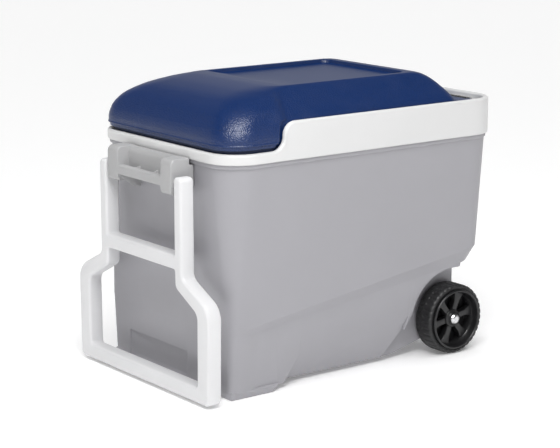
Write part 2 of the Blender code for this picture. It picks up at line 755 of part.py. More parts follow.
def carry_bracket():
    """The moulded bracket that carries the pull handle's pins and a bar to lift the cooler by."""
    wall = ear_outline(RECESS_WALL, BRACKET_TOP - 0.0005, BAR_LOW - 0.003)
    plate = prism("carry_bracket", wall, -EAR_INNER - 0.002, EAR_INNER + 0.002, "Y", "bracket_grey")
    bar = prism(
        "bar",
        rounded([(HANDLE_FRONT, BAR_LOW, 0.003), (BAR_BACK, BAR_LOW, 0.003), (BAR_BACK, BAR_HIGH, 0.003),
                 (HANDLE_FRONT, BAR_HIGH, 0.003)], 2),
        -EAR_INNER - 0.005, EAR_INNER + 0.005, "Y",
    )
    join(plate, bar)
    for side in (1, -1):
        low, high = sorted((side * EAR_INNER, side * EAR_OUTER))
        join(plate, prism("ear", ear_outline(HANDLE_FRONT, BRACKET_TOP, BRACKET_BOTTOM), low, high, "Y"))
    for side in (1, -1):
        low, high = sorted((side * (EAR_OUTER - PIN_DEPTH_IN_EAR - TOUCH), side * (EAR_OUTER + 0.01)))
        cut(plate, rod("bore", (PIN_X, HANDLE_PIVOT_Z), PIN_RADIUS + RUNNING, low, high))
    for spot in SCREW_SPOTS:
        cut(plate, screw("hole", bracket_screw_place(spot), BRACKET_SCREW_LENGTH, grow=TOUCH / 2))
    return smooth(plate)


# ---------------------------------------------------------------- pull handle

HANDLE_TOP = 0.348
CROSSBAR_LOW = 0.2035
CROSSBAR_HIGH = 0.2260
GRIP_LOW = 0.0050
GRIP_HIGH = 0.029
GRIP_CORNER = 0.009
FOOT_OUTER = 0.1845
FOOT_INNER = 0.154


def pull_handle():
    """A flat frame: two arms, a crossbar, and a wider grip loop below it."""
    right = [
        (ARM_INNER, CROSSBAR_HIGH, 0.003), (ARM_INNER, HANDLE_TOP, 0.006), (ARM_OUTER, HANDLE_TOP, 0.008),
        (ARM_OUTER, 0.192, 0.016), (FOOT_OUTER + 0.0025, 0.160, 0.026), (FOOT_OUTER, GRIP_LOW, GRIP_CORNER),
    ]
    left = [(-y, z, r) for y, z, r in reversed(right)]
    frame = prism("pull_handle", rounded(right + left), HANDLE_FRONT, HANDLE_BACK, "X", "handle_white")
    right = [
        (ARM_INNER, CROSSBAR_LOW, 0.004), (ARM_INNER + 0.001, 0.175, 0.014), (FOOT_INNER + 0.001, 0.146, 0.012),
        (FOOT_INNER, GRIP_HIGH, 0.006),
    ]
    left = [(-y, z, r) for y, z, r in reversed(right)]
    cut(frame, prism("window", rounded(right + left), HANDLE_FRONT - 0.01, HANDLE_BACK + 0.01, "X"))
    chamfer(frame, 0.0045, 60)
    for side in (1, -1):
        low, high = sorted((side * (ARM_INNER - 0.01), side * (ARM_INNER + PIN_DEPTH_IN_ARM + TOUCH)))
        cut(frame, rod("bore", (PIN_X, HANDLE_PIVOT_Z), PIN_RADIUS + TOUCH, low, high))
    return smooth(frame)


def handle_pin(side_name, side):
    """A stub pin from the arm into the ear, with a spacing flange between them."""
    inner = EAR_OUTER - PIN_DEPTH_IN_EAR
    outer = ARM_INNER + PIN_DEPTH_IN_ARM
    low, high = sorted((side * inner, side * outer))
    pin = rod(f"handle_pin_{side_name}", (PIN_X, HANDLE_PIVOT_Z), PIN_RADIUS, low, high, 32, "steel")
    low, high = sorted((side * (EAR_OUTER + TOUCH), side * (ARM_INNER - TOUCH)))
    join(pin, rod("flange", (PIN_X, HANDLE_PIVOT_Z), 0.0090, low, high))
    return smooth(pin)


# ---------------------------------------------------------------- wheels

RIM_OUTER = 0.0470
RIM_INNER = 0.0425
LIP_RADIUS = 0.0500
TYRE_FACE = 0.0365
HUB_RADIUS = 0.0115
HUB_END = 0.034
BUSH_RADIUS = 0.0075
BUSH_END = 0.0345
SPOKES = 6
SPOKE_TURN = 10
SPOKE_BACK, SPOKE_FRONT = 0.018, 0.030
WEB_BACK, WEB_FRONT = 0.0105, 0.0135
SPOKE_HUB_HALF, SPOKE_RIM_HALF = 0.0045, 0.0085
WHEEL_SEGMENTS = 40
WASHER = 0.0020
WASHER_RADIUS = 0.012


def wheel_tyre(name):
    """The hard tread ring, from its inner face at y = 0 to a shoulder that falls back to the rim's rolled lip."""
    profile = [
        (RIM_OUTER + TOUCH, 0.0005), (WHEEL_RADIUS - 0.005, 0), (WHEEL_RADIUS, 0.005),
        (WHEEL_RADIUS, TYRE_FACE - 0.002), (WHEEL_RADIUS - 0.002, TYRE_FACE + 0.001),
        (LIP_RADIUS + 0.004, TYRE_FACE + 0.002), (LIP_RADIUS + TOUCH, TYRE_FACE), (RIM_OUTER + TOUCH, TYRE_FACE),
    ]
    return smooth(turned(name, profile, WHEEL_SEGMENTS, "tread_black"))


def wheel_rim(name):
    """A barrel with a rolled outer lip, a hub and six tapered spokes set back from the outer face."""
    barrel = [
        (RIM_INNER, 0.003), (RIM_OUTER, 0.003), (RIM_OUTER, TYRE_FACE + TOUCH), (LIP_RADIUS, TYRE_FACE + TOUCH),
        (LIP_RADIUS, WHEEL_WIDTH - 0.001), (LIP_RADIUS - 0.002, WHEEL_WIDTH), (RIM_OUTER - 0.001, WHEEL_WIDTH - 0.001),
        (RIM_INNER, SPOKE_FRONT - 0.003),
    ]
    rim = turned(name, barrel, WHEEL_SEGMENTS, "wheel_black")
    bore = BUSH_RADIUS + TOUCH
    hub = turned("hub", [(bore, 0.001), (HUB_RADIUS, 0.001), (HUB_RADIUS, HUB_END), (bore, HUB_END)], 24)
    # A closed web behind the spokes joins the hub to the barrel.
    web = [(HUB_RADIUS - 0.001, WEB_BACK), (RIM_INNER + 0.001, WEB_BACK), (RIM_INNER + 0.001, WEB_FRONT),
           (HUB_RADIUS - 0.001, WEB_FRONT)]
    join(hub, turned("web", web, WHEEL_SEGMENTS), *[wheel_spoke(k) for k in range(SPOKES)])
    return smooth(join(rim, hub))


def wheel_spoke(index):
    """One spoke in the wheel's own frame: wide at the rim, narrow at the hub."""
    near, far = HUB_RADIUS - 0.002, RIM_INNER + 0.002
    outline = [(near, -SPOKE_HUB_HALF), (far, -SPOKE_RIM_HALF), (far, SPOKE_RIM_HALF), (near, SPOKE_HUB_HALF)]
    spoke = prism("spoke", outline, SPOKE_BACK, SPOKE_FRONT, "Y")
    angle = SPOKE_TURN + 360 * index / SPOKES
    spoke.data.transform(Matrix.Rotation(math.radians(angle), 4, "Y"))
    return spoke


def wheel_bushing(name):
    bore = AXLE_RADIUS + RUNNING
    profile = [(bore, 0.0005), (BUSH_RADIUS, 0.0005), (BUSH_RADIUS, BUSH_END), (bore, BUSH_END)]
    return smooth(turned(name, profile, 32, "bush_natural"))


def axle_washer(name):
    bore = AXLE_RADIUS + TOUCH
    profile = [(bore, -WASHER), (WASHER_RADIUS, -WASHER), (WASHER_RADIUS, -TOUCH), (bore, -TOUCH)]
    return smooth(turned(name, profile, 20, "steel"))


def push_nut(name):
    """The domed cap pressed on the axle's end: a cup with its opening towards the wheel."""
    back = BUSH_END + 0.0005
    face = back + 0.0045
    profile = [(0.0088, back), (0.0088, back + 0.0012), (0.0068, face - 0.001), (0.0045, face)]
    cap = loft(name, [[(x, y, z) for x, z in circle((0, 0), r, 24)] for r, y in profile], "steel")
    cut(cap, rod("bore", (0, 0), AXLE_RADIUS + TOUCH, back - 0.01, face - 0.0012))
    return smooth(cap)


def wheel_pieces(side_name, side):
    """The pieces at one end of the axle. Each is made in the wheel's frame, then set on the axle's line."""
    spinning = [
        wheel_tyre(f"wheel_tread_{side_name}"),
        wheel_rim(f"wheel_rim_{side_name}"),
        wheel_bushing(f"wheel_bushing_{side_name}"),
    ]
    fixed = [axle_washer(f"axle_washer_{side_name}"), push_nut(f"push_nut_{side_name}")]
    hub = bpy.data.objects.new(f"wheel_hub_{side_name}", None)
    bpy.context.scene.collection.objects.link(hub)
    hub.location = (WHEEL_X, side * (WHEEL_OUTER_Y - WHEEL_WIDTH), WHEEL_RADIUS)
    hub.rotation_euler = (0, 0, 0 if side > 0 else math.pi)
    for piece in spinning + fixed:
        piece.parent = hub
    return hub


def axle():
    end = WHEEL_OUTER_Y - WHEEL_WIDTH + BUSH_END + 0.0035
    return smooth(rod("axle", (WHEEL_X, WHEEL_RADIUS), AXLE_RADIUS, -end, end, 32, "steel"))


# ---------------------------------------------------------------- assembly


def hang_from(name, place, pieces):
    """Parents pieces to an empty on their joint's axis, without moving them."""
    pivot = bpy.data.objects.new(name, None)
    bpy.context.scene.collection.objects.link(pivot)
    pivot.location = place
    for piece in pieces:
        piece.data.transform(Matrix.Translation(-Vector(place)))
        piece.parent = pivot
    return pivot


def main():
    clear_scene()
    still = [body_shell(), body_foam(), inner_liner(), rim_collar(), carry_bracket(), axle()]
    still += bracket_screws()
    lid = [lid_shell(), lid_foam(), lid_liner()]
    for side_name, side in (("left", 1), ("right", -1)):
        still += [body_leaf(side_name, side), hinge_pin(side_name, side)]
        still += [smooth(piece) for piece in hinge_screws("body", side_name, side, body_leaf_screw_place, "X")]
        lid.append(lid_leaf(side_name, side))
        lid += [smooth(piece) for piece in hinge_screws("lid", side_name, side, lid_leaf_screw_place, "Z")]
    handle = [pull_handle(), handle_pin("left", 1), handle_pin("right", -1)]
    movers = [
        hang_from("lid_pivot", (HINGE_X, 0, HINGE_Z), lid),
        hang_from("handle_pivot", (PIN_X, 0, HANDLE_PIVOT_Z), handle),
        wheel_pieces("left", 1),
        wheel_pieces("right", -1),
    ]
    for obj in still + movers:
        obj.location += FRAME_SHIFT


main()
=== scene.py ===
"""Looks for the cooler on wheels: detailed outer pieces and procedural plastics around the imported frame.

Everything is in metres in the frame's own axes: +Z up, pull handle at -X, wheels at +X, left is +Y.
Shapes are written about the middle of the rim collar, which stands SHIFT away from the frame's own middle.
"""

import math

import bmesh
import bpy
from mathutils import Matrix, Vector


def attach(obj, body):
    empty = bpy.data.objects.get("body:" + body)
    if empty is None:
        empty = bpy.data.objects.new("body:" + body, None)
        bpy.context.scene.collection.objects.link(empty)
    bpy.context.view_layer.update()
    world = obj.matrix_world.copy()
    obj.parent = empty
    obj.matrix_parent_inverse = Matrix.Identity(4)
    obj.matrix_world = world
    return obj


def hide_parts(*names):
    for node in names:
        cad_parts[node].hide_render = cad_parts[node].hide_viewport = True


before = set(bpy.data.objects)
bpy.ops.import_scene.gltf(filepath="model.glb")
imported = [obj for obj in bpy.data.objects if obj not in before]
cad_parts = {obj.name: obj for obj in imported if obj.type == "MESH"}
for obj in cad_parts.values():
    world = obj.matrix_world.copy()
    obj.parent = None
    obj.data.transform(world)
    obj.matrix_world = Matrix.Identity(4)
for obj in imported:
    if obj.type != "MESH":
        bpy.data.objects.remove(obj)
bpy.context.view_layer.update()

SHIFT = Vector((0.0185, 0, 0))

# ---------------------------------------------------------------- materials

DRIFT_SCALE, DRIFT = 9.0, 0.04
SMUDGE_SCALE, SMUDGE_RANGE, SMUDGES = 28.0, (0.3, 0.7), 0.06
GRAIN_SCALE, PEBBLE_SCALE = 900.0, 420.0
WORN_EDGES, WORN_TINT, WORN_LIFT = (0.52, 0.62), 1.35, 0.04
LEVEL_FACES, LEVEL_PEBBLE = (0.90, 0.99), 0.15
BRUSH_SCALE, BRUSH_STRETCH, BRUSH_TINT, BRUSH_DEPTH = 700.0, (1.0, 0.15, 1.0), 0.86, 0.00003
BRUSH_SMOOTHER, BRUSH_ROUGHER = 0.06, 0.10
BUBBLE_SCALE, BUBBLE_TINT, BUBBLE_DEPTH = 700.0, 0.8, 0.0004


def new_material(name):
    made = bpy.data.materials.new(name)
    made.use_nodes = True
    tree = made.node_tree
    return made, tree, tree.nodes["Principled BSDF"]


def tinted(colour, factor, lift=0.0):
    return tuple(min(1, c * factor + lift) for c in colour)


def node(tree, kind, **inputs):
    """A shader node, with its inputs set from values or linked from sockets."""
    made = tree.nodes.new(kind)
    for name, value in inputs.items():
        socket = made.inputs[name]
        if isinstance(value, bpy.types.NodeSocket):
            tree.links.new(value, socket)
        else:
            socket.default_value = value
    return made


def noise(tree, scale, detail, roughness=0.5, stretch=None):
    place = node(tree, "ShaderNodeTexCoord").outputs["Object"]
    if stretch:
        place = node(tree, "ShaderNodeMapping", Vector=place, Scale=stretch).outputs["Vector"]
    return node(tree, "ShaderNodeTexNoise", Vector=place, Scale=scale, Detail=detail, Roughness=roughness)


def cells(tree, scale):
    place = node(tree, "ShaderNodeTexCoord").outputs["Object"]
    return node(tree, "ShaderNodeTexVoronoi", Vector=place, Scale=scale)


def ramp_between(tree, factor, low, high, start=0.0, end=1.0):
    """Maps a 0..1 factor to a range."""
    made = node(tree, "ShaderNodeMapRange", Value=factor)
    made.inputs["From Min"].default_value = start
    made.inputs["From Max"].default_value = end
    made.inputs["To Min"].default_value = low
    made.inputs["To Max"].default_value = high
    return made.outputs["Result"]


def blend(tree, factor, first, second):
    """A colour mixed between two colours or sockets."""
    made = tree.nodes.new("ShaderNodeMix")
    made.data_type = "RGBA"
    tree.links.new(factor, made.inputs["Factor"])
    for index, value in ((6, first), (7, second)):
        if isinstance(value, bpy.types.NodeSocket):
            tree.links.new(value, made.inputs[index])
        else:
            made.inputs[index].default_value = (*value, 1.0)
    return made.outputs[2]


def bump_map(tree, height, distance, below=None):
    """A bump in metres, on top of another one if that is given."""
    made = node(tree, "ShaderNodeBump", Height=height, Strength=1.0, Distance=distance)
    if below:
        tree.links.new(below, made.inputs["Normal"])
    return made


def plastic(name, colour, roughness, depth=0.00008, pebble=0.0, wear=0.12, level_roughness=None):
    """Moulded plastic: slight colour drift, a fine grain, an optional pebble texture and paler edges.

    level_roughness is for faces that lie level when the piece is at rest, which rub smoother than the rest.
    """
    made, tree, shader = new_material(name)
    drift = noise(tree, DRIFT_SCALE, 3.0)
    base = blend(tree, drift.outputs["Fac"], tinted(colour, 1 - DRIFT), tinted(colour, 1 + DRIFT))
    edges = node(tree, "ShaderNodeNewGeometry").outputs["Pointiness"]
    worn = ramp_between(tree, edges, 0.0, wear, *WORN_EDGES)
    base = blend(tree, worn, base, tinted(colour, WORN_TINT, WORN_LIFT))
    tree.links.new(base, shader.inputs["Base Color"])
    smudges = noise(tree, SMUDGE_SCALE, 4.0, 0.65)
    smoothest, roughest = roughness - SMUDGES, roughness + SMUDGES
    rough = ramp_between(tree, smudges.outputs["Fac"], smoothest, roughest, *SMUDGE_RANGE)
    level = None
    if level_roughness:
        normal = node(tree, "ShaderNodeTexCoord").outputs["Normal"]
        upright = node(tree, "ShaderNodeSeparateXYZ", Vector=normal).outputs["Z"]
        level = ramp_between(tree, upright, 0.0, 1.0, *LEVEL_FACES)
        rough = node(tree, "ShaderNodeMix", Factor=level, A=rough, B=level_roughness).outputs[0]
    tree.links.new(rough, shader.inputs["Roughness"])
    bump = bump_map(tree, noise(tree, GRAIN_SCALE, 2.0, 0.6).outputs["Fac"], depth)
    if pebble:
        bump = bump_map(tree, cells(tree, PEBBLE_SCALE).outputs["Distance"], pebble, bump.outputs["Normal"])
        bump.invert = True
        if level:
            tree.links.new(ramp_between(tree, level, 1.0, LEVEL_PEBBLE), bump.inputs["Strength"])
    tree.links.new(bump.outputs["Normal"], shader.inputs["Normal"])
    return made


def metal(name, colour, roughness):
    made, tree, shader = new_material(name)
    brushed = noise(tree, BRUSH_SCALE, 3.0, 0.6, BRUSH_STRETCH).outputs["Fac"]
    tree.links.new(blend(tree, brushed, tinted(colour, BRUSH_TINT), colour), shader.inputs["Base Color"])
    shader.inputs["Metallic"].default_value = 1.0
    rough = ramp_between(tree, brushed, roughness - BRUSH_SMOOTHER, roughness + BRUSH_ROUGHER)
    tree.links.new(rough, shader.inputs["Roughness"])
    tree.links.new(bump_map(tree, brushed, BRUSH_DEPTH).outputs["Normal"], shader.inputs["Normal"])
    return made


def foam(name, colour):
    made, tree, shader = new_material(name)
    bubbles = cells(tree, BUBBLE_SCALE).outputs["Distance"]
    tree.links.new(blend(tree, bubbles, tinted(colour, BUBBLE_TINT), colour), shader.inputs["Base Color"])
    shader.inputs["Roughness"].default_value = 0.9
    tree.links.new(bump_map(tree, bubbles, BUBBLE_DEPTH).outputs["Normal"], shader.inputs["Normal"])
    return made


LOOKS = {
    "body_grey": plastic("look_body_grey", (0.365, 0.36, 0.385), 0.46, depth=0.00005),
    "collar_white": plastic("look_collar_white", (0.72, 0.72, 0.72), 0.36, depth=0.00004),
    "liner_white": plastic("look_liner_white", (0.82, 0.83, 0.84), 0.30, depth=0.00003),
    "foam_cream": foam("look_foam_cream", (0.85, 0.80, 0.62)),
    "lid_blue": plastic(
        "look_lid_blue", (0.0032, 0.023, 0.108), 0.36,
        depth=0.00005, pebble=0.00055, wear=0.05, level_roughness=0.30,
    ),
    "skirt_navy": plastic("look_skirt_navy", (0.003, 0.016, 0.070), 0.50, wear=0.04),
    "bracket_grey": plastic("look_bracket_grey", (0.42, 0.42, 0.425), 0.42),
    "handle_white": plastic("look_handle_white", (0.76, 0.76, 0.77), 0.40),
    "wheel_black": plastic("look_wheel_black", (0.012, 0.012, 0.013), 0.34, wear=0.05),
    "tread_black": plastic("look_tread_black", (0.014, 0.014, 0.015), 0.50, wear=0.05),
    "bush_natural": plastic("look_bush_natural", (0.70, 0.68, 0.62), 0.40),
    "steel": metal("look_steel", (0.72, 0.72, 0.73), 0.26),
}


def dress_frame():
    """Gives every CAD node the procedural look of its own material slot."""
    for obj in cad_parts.values():
        for slot in obj.material_slots:
            slot.material = LOOKS[slot.material.name.split(".")[0]]


# ---------------------------------------------------------------- stage, light and camera

FLOOR_HALF = 40.0
FLOOR_DROP = 0.0002
FLOOR_WHITE = (0.97, 0.97, 0.97, 1.0)
FLOOR_ROUGHNESS, FLOOR_SPECULAR, FLOOR_GLOW = 0.9, 0.1, 0.14
WHITE = (1.0, 1.0, 1.0, 1.0)
# The sky's strength falls from the horizon to the ceiling between two heights of the view direction.
HORIZON, CEILING = 0.45, 0.05
SKY_FROM, SKY_TO = 0.15, 0.55
AIM = Vector((-0.1, -0.1, 0.3))
SUN_DISTANCE = 3


def stage():
    corners = [(-1, -1), (1, -1), (1, 1), (-1, 1)]
    mesh = bpy.data.meshes.new("floor")
    mesh.from_pydata([(x * FLOOR_HALF, y * FLOOR_HALF, 0) for x, y in corners], [], [(0, 1, 2, 3)])
    floor = bpy.data.objects.new("floor", mesh)
    floor.location.z = -FLOOR_DROP
    bpy.context.scene.collection.objects.link(floor)
    made, tree, shader = new_material("stage_white")
    shader.inputs["Base Color"].default_value = FLOOR_WHITE
    shader.inputs["Roughness"].default_value = FLOOR_ROUGHNESS
    shader.inputs["Specular IOR Level"].default_value = FLOOR_SPECULAR
    shader.inputs["Emission Color"].default_value = WHITE
    shader.inputs["Emission Strength"].default_value = FLOOR_GLOW
    mesh.materials.append(made)


def face_along(obj, towards):
    """Adds a lamp or camera to the scene, turned so that it looks back along a direction."""
    obj.rotation_mode = "QUATERNION"
    obj.rotation_quaternion = (-towards).to_track_quat("-Z", "Y")
    bpy.context.scene.collection.objects.link(obj)
    return obj


def sun(name, direction, power, angle):
    lamp = bpy.data.lights.new(name, "SUN")
    lamp.energy = power
    lamp.angle = math.radians(angle)
    obj = bpy.data.objects.new(name, lamp)
    towards = Vector(direction).normalized()
    obj.location = towards * SUN_DISTANCE
    return face_along(obj, towards)


def area_light(name, direction, distance, size, power):
    """A round softbox that faces the object from a direction."""
    lamp = bpy.data.lights.new(name, "AREA")
    lamp.shape = "DISK"
    lamp.size = size
    lamp.energy = power
    obj = bpy.data.objects.new(name, lamp)
    towards = Vector(direction).normalized()
    obj.location = AIM + towards * distance
    return face_along(obj, towards)


def lighting():
    """A sky that darkens upward, a softbox in front, one more for gloss only, and a fill from above."""
    world = bpy.data.worlds.new("studio")
    bpy.context.scene.world = world
    world.use_nodes = True
    tree = world.node_tree
    back = tree.nodes["Background"]
    up = node(tree, "ShaderNodeSeparateXYZ", Vector=node(tree, "ShaderNodeTexCoord").outputs["Generated"])
    sky = ramp_between(tree, up.outputs["Z"], HORIZON, CEILING, SKY_FROM, SKY_TO)
    straight_seen = node(tree, "ShaderNodeLightPath").outputs["Is Camera Ray"]
    seen = node(tree, "ShaderNodeMix", Factor=straight_seen, A=sky, B=1.0)
    tree.links.new(seen.outputs[0], back.inputs["Strength"])
    back.inputs["Color"].default_value = WHITE
    area_light("key", (-0.42, -0.60, 0.78), distance=1.7, size=0.9, power=17)
    gleam = area_light("gleam", (-0.30, -0.62, 0.80), distance=1.7, size=1.0, power=30)
    gleam.visible_diffuse = False
    fill = sun("fill", (0.0, 0.05, 1.0), power=2.3, angle=80)
    fill.visible_glossy = False
    bpy.context.scene.view_settings.view_transform = "Standard"


CAMERA_AZIMUTH, CAMERA_ELEVATION = -37.21, 12.27
CAMERA_PLACE = (-1.8137, -2.3600, 0.8669)
CAMERA_LENS, CAMERA_SENSOR = 117.58, 36.0
CAMERA_CLIP = (0.05, 60.0)


def camera():
    azimuth, elevation = math.radians(CAMERA_AZIMUTH), math.radians(CAMERA_ELEVATION)
    level = math.cos(elevation)
    back = Vector((math.sin(azimuth) * level, -math.cos(azimuth) * level, math.sin(elevation)))
    lens = bpy.data.cameras.new("camera")
    lens.sensor_width = CAMERA_SENSOR
    lens.lens = CAMERA_LENS
    lens.clip_start, lens.clip_end = CAMERA_CLIP
    obj = bpy.data.objects.new("camera", lens)
    obj.location = CAMERA_PLACE
    bpy.context.scene.camera = face_along(obj, back)


# ---------------------------------------------------------------- mesh helpers

SMOOTH_ANGLE = 35
# A mirrored ring's two halves start this far from the middle plane.
MIDDLE_GAP = 0.0002
CUTTER_REACH = 0.01


def mesh_piece(name, points, faces, look=None, angle=SMOOTH_ANGLE):
    """A new object from points written about the collar's middle."""
    mesh = bpy.data.meshes.new(name)
    mesh.from_pydata([tuple(p) for p in points], [], faces)
    shell = bmesh.new()
    shell.from_mesh(mesh)
    bmesh.ops.recalc_face_normals(shell, faces=shell.faces)
    shell.to_mesh(mesh)
    shell.free()
    obj = bpy.data.objects.new(name, mesh)
    bpy.context.scene.collection.objects.link(obj)
    if look:
        mesh.materials.append(LOOKS[look])
    return smooth(obj, angle)


def smooth(obj, angle=SMOOTH_ANGLE):
    obj.data.shade_smooth()
    obj.data.set_sharp_from_angle(angle=math.radians(angle))
    return obj


def loft(name, rings, look=None, mirrored=False, angle=SMOOTH_ANGLE):
    """A solid through closed rings of equal point counts. Mirrored rings are capped with cross strips."""
    count = len(rings[0])
    points = [p for ring in rings for p in ring]
    faces = []
    for start in (0, len(points) - count):
        if mirrored:
            for k in range(count // 2 - 1):
                across = count - 1 - k
                faces.append([start + k, start + k + 1, start + across - 1, start + across])
        else:
            faces.append(list(range(start, start + count)))
    for row in range(len(rings) - 1):
        for k in range(count):
            a = row * count + k
            b = row * count + (k + 1) % count
            faces.append([a, b, b + count, a + count])
    return mesh_piece(name, points, faces, look, angle)


def closed_ring(name, sections, look=None, angle=SMOOTH_ANGLE):
    """A ring through outlines of equal point counts, with the last one joined to the first."""
    size = len(sections[0])
    faces = []
    for k in range(len(sections)):
        here = k * size
        after = (k + 1) % len(sections) * size
        for j in range(size):
            beside = (j + 1) % size
            faces.append([here + j, here + beside, after + beside, after + j])
    return mesh_piece(name, [p for section in sections for p in section], faces, look, angle)


def prism(name, outline, low, high, axis="Z", look=None):
    """A straight solid on an outline, between two places on an axis."""
    place = {
        "Z": lambda p, q, at: (p, q, at),
        "Y": lambda p, q, at: (p, at, q),
        "X": lambda p, q, at: (at, p, q),
    }[axis]
    return loft(name, [[place(p, q, at) for p, q in outline] for at in (low, high)], look)


def box(name, low, high):
    outline = [(low[0], low[1]), (high[0], low[1]), (high[0], high[1]), (low[0], high[1])]
    return prism(name, outline, low[2], high[2])


def arc(centre, radius, start, end, steps):
    """Points on an arc, with angles in degrees."""
    angles = [math.radians(start + (end - start) * k / steps) for k in range(steps + 1)]
    return [(centre[0] + radius * math.cos(a), centre[1] + radius * math.sin(a)) for a in angles]


def rounded(corners, steps=6):
    """An outline whose corners, each (x, y, radius), are rounded."""
    outline = []
    count = len(corners)
    for k, (x, y, radius) in enumerate(corners):
        here = Vector((x, y))
        if radius == 0:
            outline.append((x, y))
            continue
        before = (Vector(corners[k - 1][:2]) - here).normalized()
        after = (Vector(corners[(k + 1) % count][:2]) - here).normalized()
        half = before.angle(after) / 2
        centre = here + (before + after).normalized() * radius / math.sin(half)
        start = (here + before * radius / math.tan(half) - centre).normalized()
        end = (here + after * radius / math.tan(half) - centre).normalized()
        for step in range(steps + 1):
            outline.append(tuple(centre + start.slerp(end, step / steps).normalized() * radius))
    return outline


def round_box(half_x, half_y, radius, steps=10):
    """A rectangle about the middle with rounded corners."""
    corners = [(half_x, half_y), (-half_x, half_y), (-half_x, -half_y), (half_x, -half_y)]
    return rounded([(x, y, radius) for x, y in corners], steps)


def circle(centre, radius, count):
    return arc(centre, radius, 0, 360, count)[:-1]


def span(side, inner, outer):
    """The low and high y of a stretch on the left (1) or right (-1) side."""
    return sorted((side * inner, side * outer))


def ramp(x, low, high):
    """0 below low, 1 above high, with a smooth step between them."""
    t = min(max((x - low) / (high - low), 0), 1)
    return t * t * (3 - 2 * t)


def bake(obj):
    """Turns a piece's modifiers into its own mesh."""
    graph = bpy.context.evaluated_depsgraph_get()
    graph.update()
    mesh = bpy.data.meshes.new_from_object(obj.evaluated_get(graph))
    obj.modifiers.clear()
    obj.data = mesh
    return obj


def combine(obj, others, operation):
    for other in others:
        modifier = obj.modifiers.new(operation.lower(), "BOOLEAN")
        modifier.operation = operation
        modifier.object = other
        bake(obj)
        bpy.data.objects.remove(other, do_unlink=True)
    return obj


def cut(obj, *others):
    return combine(obj, others, "DIFFERENCE")


def join(obj, *others):
    return combine(obj, others, "UNION")


def bevel(obj, width, segments=2, angle=30):
    modifier = obj.modifiers.new("bevel", "BEVEL")
    modifier.width = width
    modifier.segments = segments
    modifier.limit_method = "ANGLE"
    modifier.angle_limit = math.radians(angle)
    return bake(obj)


def settle(obj, body, slot, *replaced):
    """Sets a finished piece in the frame, on its body, in place of CAD nodes."""
    obj.data.transform(Matrix.Translation(SHIFT))
    if replaced:
        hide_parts(*replaced)
    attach(obj, body)
    return obj


def tub_ring(front, rear, half_width, front_radius, rear_radius, height, fractions, steps, across):
    """One ring of a tub with rounded corners, mirrored about y = 0. Width and height may vary with x."""
    start, end = front + front_radius, rear - rear_radius
    upper = []
    flat = half_width(rear - rear_radius) - rear_radius
    for k in range(across, 0, -1):
        upper.append((rear, flat * (1 - k / across)))
    for x, rise in arc((end, 0), rear_radius, 0, 90, steps):
        upper.append((x, half_width(x) - rear_radius + rise))
    for f in reversed(fractions):
        x = start + (end - start) * f
        upper.append((x, half_width(x)))
    for x, rise in arc((start, 0), front_radius, 90, 180, steps):
        upper.append((x, half_width(x) - front_radius + rise))
    flat = half_width(start) - front_radius
    for k in range(1, across + 1):
        upper.append((front, flat * (1 - k / across)))
    upper[0] = (rear, MIDDLE_GAP)
    upper[-1] = (front, MIDDLE_GAP)
    lower = [(x, -y) for x, y in reversed(upper)]
    return [(x, y, height(x)) for x, y in upper + lower]


def spline(values, t):
    """A smooth curve through evenly spaced values, read at a fractional index."""
    last = len(values) - 1
    k = min(int(t), last - 1)
    f = t - k
    a, b, c, d = values[max(k - 1, 0)], values[k], values[k + 1], values[min(k + 2, last)]
    bend, twist = 2 * a - 5 * b + 4 * c - d, 3 * b - a - 3 * c + d
    return 0.5 * (2 * b + (c - a) * f + bend * f * f + twist * f ** 3)


# ---------------------------------------------------------------- collar

COLLAR_LENGTH = 0.560
COLLAR_WIDTH = 0.376
COLLAR_CORNER = 0.056
COLLAR_BOTTOM = 0.370
COLLAR_LOW_TOP = 0.3865
COLLAR_HIGH_TOP = 0.430
COLLAR_WALL = 0.0095
COLLAR_CROWN = 0.0046
COLLAR_WAIST = COLLAR_BOTTOM + 0.011
COLLAR_ANGLE = 50
# The wall's outer foot, as insets and heights.
COLLAR_FOOT = ((0.0012, COLLAR_BOTTOM), (0.0003, COLLAR_BOTTOM + 0.0009), (0.0, COLLAR_BOTTOM + 0.0025))
FOOT_INSET = COLLAR_WALL + 0.006
HALF_LENGTH = COLLAR_LENGTH / 2
HALF_WIDTH = COLLAR_WIDTH / 2
STEP_MIDDLE_X = -0.1735
STEP_RADIUS = (COLLAR_HIGH_TOP - COLLAR_LOW_TOP) / 2
SIDE_SPACING, SIDE_POINTS = 0.0125, 29
SIDE_FRONT_X = -0.21
CORNER_STEPS = 14
DECK_TOP = 0.384
DECK_SINK = 0.00005
# Half length, half width and corner radius.
DECK = (0.2665, 0.1745, 0.044)
MOUTH = (0.2388, 0.1508, 0.040)


def step_curve():
    """Points and outward normals along the collar's S-shaped rise, from its low front to its high side."""
    low_centre = (STEP_MIDDLE_X - STEP_RADIUS, COLLAR_LOW_TOP + STEP_RADIUS)
    high_centre = (STEP_MIDDLE_X + STEP_RADIUS, COLLAR_HIGH_TOP - STEP_RADIUS)
    low = arc(low_centre, STEP_RADIUS, 270, 360, CORNER_STEPS)
    high = arc(high_centre, STEP_RADIUS, 180, 90, CORNER_STEPS)
    made = []
    for k, (x, z) in enumerate(low):
        angle = math.radians(270 + 90 * k / CORNER_STEPS)
        made.append((x, z, -math.cos(angle), -math.sin(angle)))
    for k, (x, z) in enumerate(high[1:], 1):
        angle = math.radians(180 - 90 * k / CORNER_STEPS)
        made.append((x, z, math.cos(angle), math.sin(angle)))
    return made


def collar_corner(x, y, start, end, top):
    """Path points round one of the collar's corners."""
    made = []
    for px, py in arc((x, y), COLLAR_CORNER, start, end, CORNER_STEPS):
        normal = (Vector((px, py)) - Vector((x, y))).normalized()
        made.append((px, py, normal.x, normal.y, top, 0, 1))
    return made


